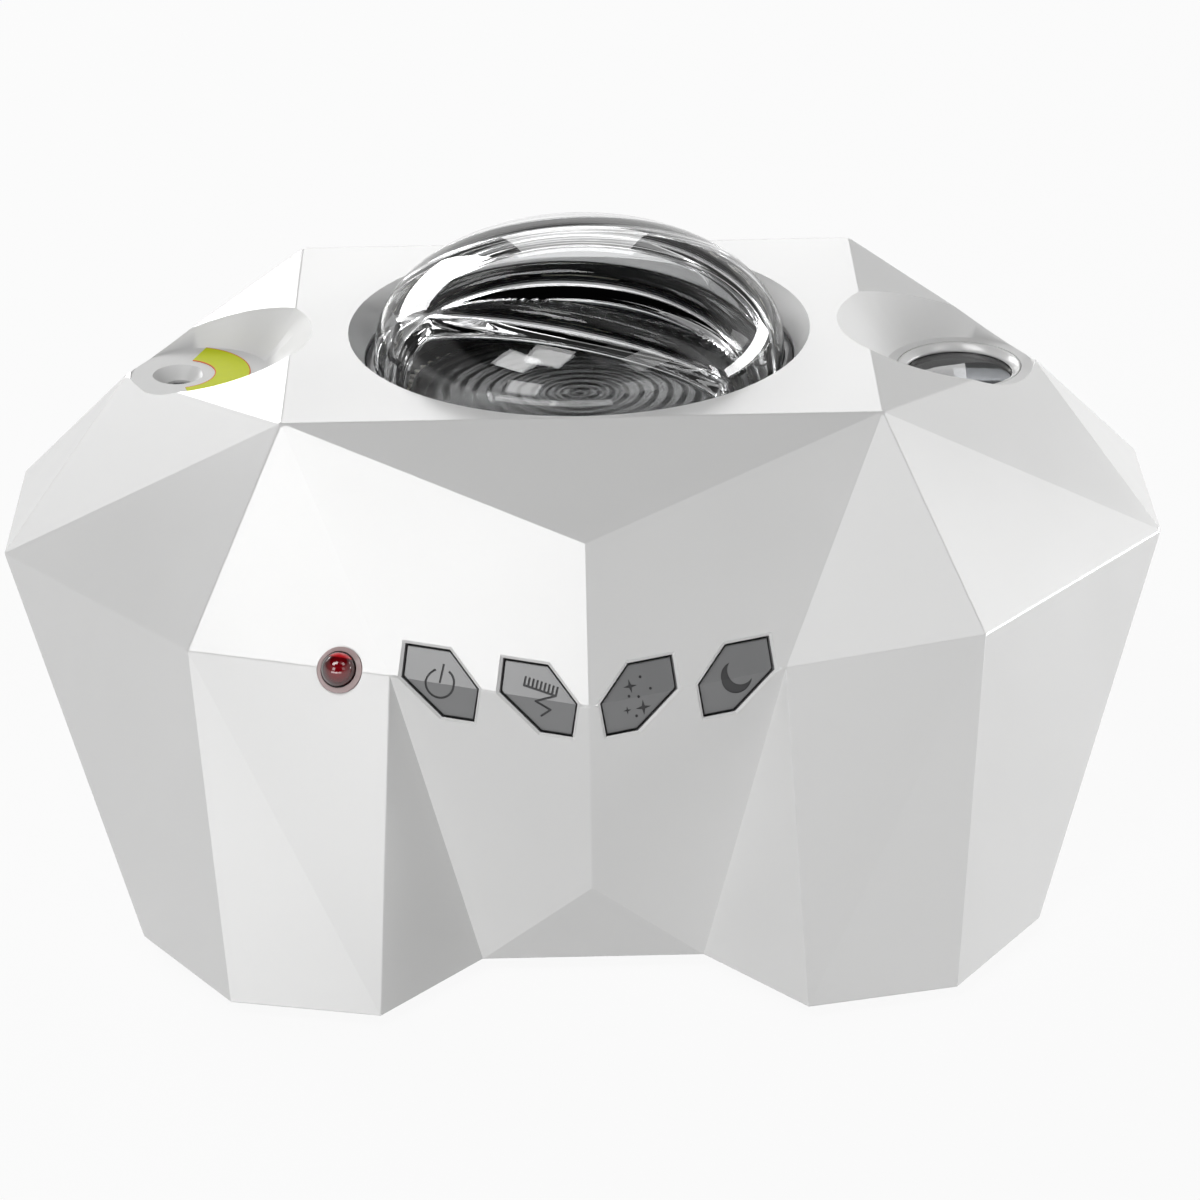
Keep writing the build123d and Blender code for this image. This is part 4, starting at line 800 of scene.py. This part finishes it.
# ------------------------------------------------------------------ pieces
class PROJECTOR_OT_shell(bpy.types.Operator):
    """The faceted shell, its creases softly rounded and its key openings chamfered."""

    bl_idname = "projector.shell"
    bl_label = "Shell"

    def execute(self, context):
        settings = context.scene.projector_body
        made = finished_object("shell", self.sorted_copy(), "shell_white", "mouth_grey", "shell_satin")
        carve(made, self.rounded_form(settings.crease), "INTERSECT")
        chamfer = settings.mouth_chamfer / MM
        for _, side, shift in KEYS:
            carve(made, mouth_tool(side, shift, chamfer), "DIFFERENCE")
        self.paint_mouths(made, chamfer)
        even_facets(made, SHELL_SHARP)
        stand_for(made, "upper_housing")
        return {"FINISHED"}

    def sorted_copy(self):
        """The shell's mesh, every face that isn't on the outer form marked as cut or inside."""
        near, level = 0.02 * MM, 0.999
        form = faceted_form(0.0)
        tree = BVHTree.FromBMesh(form)
        mesh = merged_copy("upper_housing")
        for face in mesh.faces:
            _, normal, _, away = tree.find_nearest(face.calc_center_median())
            outer = away < near and abs(normal.dot(face.normal)) > level
            face.material_index = 0 if outer else 2
        form.free()
        return mesh

    def paint_mouths(self, made, chamfer):
        """The openings' walls under the chamfer are grey."""
        inner, outer, deepest = -0.3, 0.06, 3.5
        frames = [KeyFrame(side, shift) for _, side, shift in KEYS]
        for face in made.data.polygons:
            for key_frame in frames:
                outside, depth = key_frame.measure(face.center)
                if inner < outside < outer and chamfer * 0.8 < depth < deepest:
                    face.material_index = 1

    def rounded_form(self, width):
        """The form with its convex creases rounded, a hair larger so that only they cut."""
        swell, least_fold = 0.0002, 0.03
        mesh = faceted_form(swell)
        weight = mesh.edges.layers.float.new("bevel_weight_edge")
        for edge in mesh.edges:
            edge[weight] = 1.0 if edge.is_convex and edge.calc_face_angle(0) > least_fold else 0.0
        tool = plain_object("rounded_form", mesh)
        modify(tool, "BEVEL", width=width, segments=3, limit_method="WEIGHT")
        return tool


class PROJECTOR_OT_base(bpy.types.Operator):
    """The base plate, its screws and the four feet with their treads."""

    bl_idname = "projector.base"
    bl_label = "Base and feet"

    def execute(self, context):
        settings = context.scene.projector_body
        rounded_piece("base_plate", "base_grey", 0.2)
        for node, name, finish, mesh, (half_x, half_y) in (
                ("rubber_feet", "feet", "rubber", self.foot(settings), settings.foot_spread),
                ("base_screws", "sole_screws", "screw_steel", self.screw(settings), settings.screw_spread)):
            shape = plain_object(name + "_shape", mesh)
            stand_for(repeat_on_grid(name, shape, finish, (half_x * 2, half_y * 2), (2, 2)), node)
        return {"FINISHED"}

    def foot(self, settings):
        """A round foot, its tread a set of rings, with softened edges."""
        low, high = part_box("rubber_feet")
        radius, edge, groove = settings.foot_radius, settings.foot_edge, settings.tread_depth
        half_mouth = 0.22 * MM
        half_bottom = half_mouth * 0.6
        edge_steps, steps_round = 6, 64
        profile = [(0.0, low.z)]
        for ring in range(1, settings.treads + 1):
            middle = (radius - edge) * ring / (settings.treads + 1)
            profile += [(middle - half_mouth, low.z), (middle - half_bottom, low.z + groove),
                        (middle + half_bottom, low.z + groove), (middle + half_mouth, low.z)]
        for step in range(edge_steps + 1):
            angle = math.pi / 2 * step / edge_steps
            profile.append((radius - edge + edge * math.sin(angle), low.z + edge - edge * math.cos(angle)))
        profile += [(radius, high.z), (0.0, high.z)]
        mesh = lathe(bmesh.new(), profile, steps_round)
        bmesh.ops.recalc_face_normals(mesh, faces=mesh.faces)
        return mesh

    def screw(self, settings):
        """One of the four screws, moved to the axis, its edges softened."""
        mesh = merged_copy("base_screws")
        others = [v for v in mesh.verts if v.co.x < 0 or v.co.y < 0]
        bmesh.ops.delete(mesh, geom=others, context="VERTS")
        x, y = settings.screw_spread
        bmesh.ops.translate(mesh, vec=(-x, -y, 0), verts=mesh.verts)
        least_fold, rounding = 0.6, 0.08 * MM
        sharp = [e for e in mesh.edges if e.is_manifold and e.calc_face_angle(0) > least_fold]
        bmesh.ops.bevel(mesh, geom=sharp, offset=rounding, segments=2, affect="EDGES", clamp_overlap=True)
        return mesh


class PROJECTOR_OT_dome(bpy.types.Operator):
    """The clear dome with waves moulded in its inside, and the dark seal round it."""

    bl_idname = "projector.dome"
    bl_label = "Dome"

    def execute(self, context):
        settings = context.scene.projector_dome
        self.middle = DECK_Z - settings.drop
        self.inner = settings.radius - settings.wall
        self.flatness = (settings.rise - settings.wall) / self.inner
        mesh = lathe(bmesh.new(), self.outside(settings), settings.steps)
        lathe(mesh, self.inside(settings), settings.steps, lambda place: self.waved(place, settings))
        bmesh.ops.remove_doubles(mesh, verts=mesh.verts, dist=WELD)
        bmesh.ops.recalc_face_normals(mesh, faces=mesh.faces)
        stand_for(finished_object("dome_shell", mesh, "dome_clear", sharp=LENS_SHARP), "dome_cover")
        rounded_piece("dome_seal_ring", "ring_dark", 0.2)
        rounded_piece("dome_clamp_ring", "black_plastic", 0.3)
        return {"FINISHED"}

    def outside(self, settings):
        """Radius and height from the flange's inner foot, round it and up to the pole."""
        low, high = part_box("dome_cover")
        shelf = low.z + settings.flange
        profile = [(self.inner, low.z), (high.x, low.z), (high.x, shelf), (settings.radius, shelf)]
        for ring in range(settings.rings // 2 + 1):
            angle = math.pi / 2 * ring / (settings.rings // 2)
            profile.append((settings.radius * math.cos(angle), self.middle + settings.rise * math.sin(angle)))
        return profile[:-1] + [(0.0, self.middle + settings.rise)]

    def inside(self, settings):
        """From the pole of the hollow down to the flange's inner foot."""
        depth = settings.rise - settings.wall
        profile = [(0.0, self.middle + depth)]
        for ring in range(settings.rings - 1, -1, -1):
            angle = math.pi / 2 * ring / settings.rings
            profile.append((self.inner * math.cos(angle), self.middle + depth * math.sin(angle)))
        return profile + [(self.inner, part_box("dome_cover")[0].z)]

    def waved(self, place, settings):
        """A point of the hollow's wall moved inwards by the waves that pass it."""
        if place.z < self.middle:
            return place
        ball = Vector((place.x, place.y, (place.z - self.middle) / self.flatness))
        towards = ball.normalized()
        section, crest, soft = settings.wave_round, settings.wave_rise, settings.wave_soft
        rise = 0.0
        for lean, turn, away in DOME_WAVES:
            lean, turn = math.radians(lean), math.radians(turn)
            axis = Vector((math.sin(lean) * math.sin(turn), -math.sin(lean) * math.cos(turn), math.cos(lean)))
            circle = math.acos(away * MM / (self.inner + section - crest))
            aside = abs(math.acos(max(-1.0, min(1.0, towards.dot(axis)))) - circle) * self.inner
            if aside < section:
                bulge = math.sqrt(section ** 2 - aside ** 2) - section + crest
                rise = max(rise, 0.5 * (bulge + math.sqrt(bulge ** 2 + soft ** 2)))
        ball = towards * (ball.length - rise)
        return Vector((ball.x, ball.y, self.middle + ball.z * self.flatness))


class PROJECTOR_OT_keys(bpy.types.Operator):
    """The four keys: softened outlines, and engraved signs whose floors are painted near-black as painted
    shade.
    """

    bl_idname = "projector.keys"
    bl_label = "Keys"

    def execute(self, context):
        settings = context.scene.projector_body
        border, hair = 0.35, 0.02
        for node, side, shift in KEYS:
            key_frame = KeyFrame(side, shift)
            made = finished_object(node + "_cap", self.marked(node, key_frame), "key_grey", "key_sign")
            modify(made, "BEVEL", width=settings.key_edge, segments=2, limit_method="WEIGHT",
                   use_clamp_overlap=False)
            for face in made.data.polygons:
                outside, depth = key_frame.measure(face.center)
                # The signs' engraved floors get the near-black finish: painted shade.
                if outside < -border and KEY_SUNK + hair < depth < KEY_SUNK + SIGN_DEPTH:
                    face.material_index = 1
            even_facets(made, KEY_SHARP)
            stand_for(made, node)
        return {"FINISHED"}

    def marked(self, node, key_frame):
        """The key's mesh with a bevel weight on the outline of its face."""
        inner, outer, near = -0.3, 0.05, 0.05
        mesh = merged_copy(node)
        weight = mesh.edges.layers.float.new("bevel_weight_edge")
        for edge in mesh.edges:
            places = [key_frame.measure(vertex.co) for vertex in edge.verts]
            edge[weight] = float(all(
                inner < outside < outer and abs(depth - KEY_SUNK) < near for outside, depth in places))
        return mesh


class PROJECTOR_OT_pockets(bpy.types.Operator):
    """The laser pocket's film and window, and the moon pocket's ring and lens."""

    bl_idname = "projector.pockets"
    bl_label = "Pockets"

    def execute(self, context):
        dress("aperture_sticker", "sticker_film")
        dress("star_window", "lens_clear")
        rounded_piece("moon_bezel_ring", "shell_white", 0.15)
        dress("moon_front_lens", "moon_glass")
        return {"FINISHED"}


class PROJECTOR_OT_receiver(bpy.types.Operator):
    """The red lens of the remote receiver and the power inlet at the back."""

    bl_idname = "projector.receiver"
    bl_label = "Receiver and inlet"

    def execute(self, context):
        stand_for(self.lens(context.scene.projector_pockets), "ir_lens")
        dress("ir_receiver", "chip_black")
        rounded_piece("power_jack", "black_plastic", 0.25)
        rounded_piece("jack_pin", "screw_steel", 0.2)
        rounded_piece("jack_nut", "screw_steel", 0.2)
        return {"FINISHED"}

    def lens(self, settings):
        """The stem, the bevelled clear collar, a dark groove and the red dome in it."""
        dome, collar = settings.dome_radius, settings.collar_radius
        stem, groove = dome + 0.28 * MM, dome + 0.14 * MM
        stem_end, collar_foot, bevel_foot, groove_floor = -3.6 * MM, -0.5 * MM, 0.02 * MM, 0.1 * MM
        collar_top, groove_top, dark_top, dome_foot = 0.42 * MM, 0.38 * MM, 0.4 * MM, 0.2 * MM
        dome_steps, steps_round = 24, 96
        profile = [(0, stem_end), (stem, stem_end), (stem, collar_foot), (collar, collar_foot),
                   (collar, bevel_foot), (collar - 0.1 * MM, 0.1 * MM), (groove + 0.08 * MM, collar_top),
                   (groove, groove_top), (groove - 0.02 * MM, groove_floor), (dome, groove_floor)]
        for step in range(1, dome_steps):
            angle = math.pi / 2 * step / dome_steps
            profile.append((dome * math.cos(angle), dome_foot + dome * math.sin(angle)))
        profile.append((0, dome_foot + dome))
        mesh = lathe(bmesh.new(), profile, steps_round)
        for face in mesh.faces:
            middle = face.calc_center_median()
            across = math.hypot(middle.x, middle.y)
            if across > groove or middle.z < 0:
                face.material_index = 1
            elif across > dome * 0.985 and middle.z < dark_top:
                face.material_index = 2
        bmesh.ops.transform(mesh, matrix=receiver_plane(), verts=mesh.verts)
        bmesh.ops.recalc_face_normals(mesh, faces=mesh.faces)
        return finished_object("receiver_lens", mesh, "ir_red", "ir_ring", "black_plastic", sharp=LENS_SHARP)


# What shows through the dome or is hidden in the shell, by finish.
INSIDE = {
    "black_plastic": ("optics_chassis", "lamp_cup", "star_bracket", "moon_lens_tube",
        "moon_retainer_ring", "moon_plunger", "stars_plunger", "power_plunger", "aurora_plunger"),
    "screw_steel": ("frame_screws", "aurora_motor_shaft", "star_axle", "star_motor_shaft",
        "inner_screws"),
    "nylon": ("aurora_gear_ring", "aurora_pinion", "star_pinion"),
    "smoke_clear": ("wave_disc",),
    "motor_steel": ("aurora_motor", "star_motor"),
    "white_mask": ("lamp_led_board", "moon_led_board"),
    "led_phosphor": ("lamp_leds", "moon_led"),
    "lens_clear": ("collimator_lenses", "star_grating_disc", "laser_lens", "moon_condenser"),
    "sink_aluminium": ("heat_sink",),
    "brass": ("laser_barrel",),
    "board_green": ("laser_driver_board", "key_board_right", "key_board_left", "main_board"),
    "slide_glass": ("moon_slide",),
    "ring_dark": ("key_switches",),
    "chip_black": ("board_components",),
}


class PROJECTOR_OT_inside(bpy.types.Operator):
    """Everything under the dome and inside the shell."""

    bl_idname = "projector.inside"
    bl_label = "Inside"

    def execute(self, context):
        for finish, nodes in INSIDE.items():
            for node in nodes:
                dress(node, finish)
        return {"FINISHED"}


class PROJECTOR_OT_stage(bpy.types.Operator):
    """Floor, camera and studio light."""

    bl_idname = "projector.stage"
    bl_label = "Stage"

    def execute(self, context):
        settings = context.scene.projector_stage
        self.camera(context, settings)
        self.floor()
        self.room(context, settings)
        self.lamps()
        context.scene.view_settings.view_transform = "Standard"
        return {"FINISHED"}

    def camera(self, context, settings):
        """The photograph's camera."""
        pitch, yaw, roll = settings.pitch, settings.yaw, settings.roll
        ahead = Vector((math.sin(yaw) * math.cos(pitch), math.cos(yaw) * math.cos(pitch), -math.sin(pitch)))
        level = Vector((math.cos(yaw), -math.sin(yaw), 0.0))
        above = level.cross(ahead)
        right = level * math.cos(roll) + above * math.sin(roll)
        up = above * math.cos(roll) - level * math.sin(roll)
        data = bpy.data.cameras.new("camera")
        data.lens, data.sensor_width = settings.lens, 36.0
        data.clip_start, data.clip_end = 0.01, 20.0
        eye = bpy.data.objects.new("camera", data)
        turn = Matrix((right, up, -ahead)).transposed()
        eye.matrix_world = Matrix.Translation(Vector(settings.eye)) @ turn.to_4x4()
        context.scene.collection.objects.link(eye)
        context.scene.camera = eye

    def floor(self):
        """A pale floor a hair under the feet, brighter to the camera than to the object."""
        bpy.ops.mesh.primitive_plane_add(size=12.0, location=(0, 0, -0.2 * MM))
        floor = bpy.context.object
        floor.name = "floor"
        make = Finish("floor_pale")
        seen = make.node("ShaderNodeLightPath")
        direct = seen.pick("Is Camera Ray").either(seen.pick("Is Glossy Ray"))
        direct = direct.either(seen.pick("Is Transmission Ray"))
        paint = make.node("ShaderNodeBsdfDiffuse", {}, {"Color": rgb(0.6)})
        glow = make.node("ShaderNodeEmission", {}, {"Color": rgb(1.0), "Strength": 1.0})
        mixed = make.node("ShaderNodeMixShader", {}, {0: direct * 0.93, 1: paint, 2: glow})
        floor.data.materials.append(make.output(mixed))

    def room(self, context, settings):
        """White to the camera; reflections see a pale horizon, grey walls and a dark ceiling."""
        world = bpy.data.worlds.new("room")
        context.scene.world = world
        room = Room(world)
        ray = room.node("ShaderNodeTexCoord").pick("Generated")
        towards = room.node("ShaderNodeSeparateXYZ", {}, {0: ray})
        right, height = towards, towards.pick("Z")
        behind = room.fade(towards.pick("Y"), *FRONT_END)
        horizon = room.fade(height, *HORIZON)
        walls = room.fade(height, *WALLS_TOP) * behind * settings.walls
        window = room.fade(right, *WINDOW_SIDE) * room.fade(height, *WINDOW_TOP) * settings.window
        graded = horizon.either(walls + window)
        seen = room.node("ShaderNodeLightPath")
        mirrored = seen.pick("Is Glossy Ray").either(seen.pick("Is Transmission Ray"))
        strength = seen.pick("Is Camera Ray").either(mirrored * graded + settings.sky)
        light = room.node("ShaderNodeBackground", {}, {"Strength": strength})
        room.node("ShaderNodeOutputWorld", {}, {"Surface": light})

    def lamps(self):
        """The softboxes, each turned towards the object."""
        for bearing, elevation, width, height, strength in LAMPS:
            turn, rise = math.radians(bearing), math.radians(elevation)
            level = math.cos(rise)
            towards = Vector((level * math.sin(turn), -level * math.cos(turn), math.sin(rise)))
            data = bpy.data.lights.new("softbox", "AREA")
            data.shape, data.size, data.size_y = "RECTANGLE", width, height
            data.energy = strength * math.pi ** 2 * LAMP_DISTANCE ** 2
            lamp = bpy.data.objects.new("softbox", data)
            lamp.location = LAMP_AIM + towards * LAMP_DISTANCE
            lamp.rotation_mode = "QUATERNION"
            lamp.rotation_quaternion = towards.to_track_quat("Z", "Y")
            bpy.context.scene.collection.objects.link(lamp)


class PROJECTOR_PT_panel(bpy.types.Panel):
    """The projector's pieces and settings."""

    bl_label = "Projector"
    bl_idname = "PROJECTOR_PT_panel"
    bl_space_type = "VIEW_3D"
    bl_region_type = "UI"
    bl_category = "Projector"

    def draw(self, context):
        for step in STEPS:
            self.layout.operator(step.bl_idname)
        for group in GROUPS:
            settings = getattr(context.scene, group)
            for name in settings.bl_rna.properties.keys():
                if name not in ("rna_type", "name"):
                    self.layout.prop(settings, name)


STEPS = (
    PROJECTOR_OT_shell, PROJECTOR_OT_base, PROJECTOR_OT_dome, PROJECTOR_OT_keys, PROJECTOR_OT_pockets,
    PROJECTOR_OT_receiver, PROJECTOR_OT_inside, PROJECTOR_OT_stage,
)
GROUPS = {
    "projector_body": BodySettings, "projector_dome": DomeSettings, "projector_pockets": PocketSettings,
    "projector_stage": StageSettings,
}


def register():
    for name, group in GROUPS.items():
        bpy.utils.register_class(group)
        setattr(bpy.types.Scene, name, bpy.props.PointerProperty(type=group))
    for step in STEPS:
        bpy.utils.register_class(step)
    bpy.utils.register_class(PROJECTOR_PT_panel)


def unregister():
    bpy.utils.unregister_class(PROJECTOR_PT_panel)
    for step in reversed(STEPS):
        bpy.utils.unregister_class(step)
    for name, group in GROUPS.items():
        delattr(bpy.types.Scene, name)
        bpy.utils.unregister_class(group)


def main():
    register()
    bpy.ops.projector.shell()
    bpy.ops.projector.base()
    bpy.ops.projector.dome()
    bpy.ops.projector.keys()
    bpy.ops.projector.pockets()
    bpy.ops.projector.receiver()
    bpy.ops.projector.inside()
    bpy.ops.projector.stage()


if __name__ == "__main__":
    main()
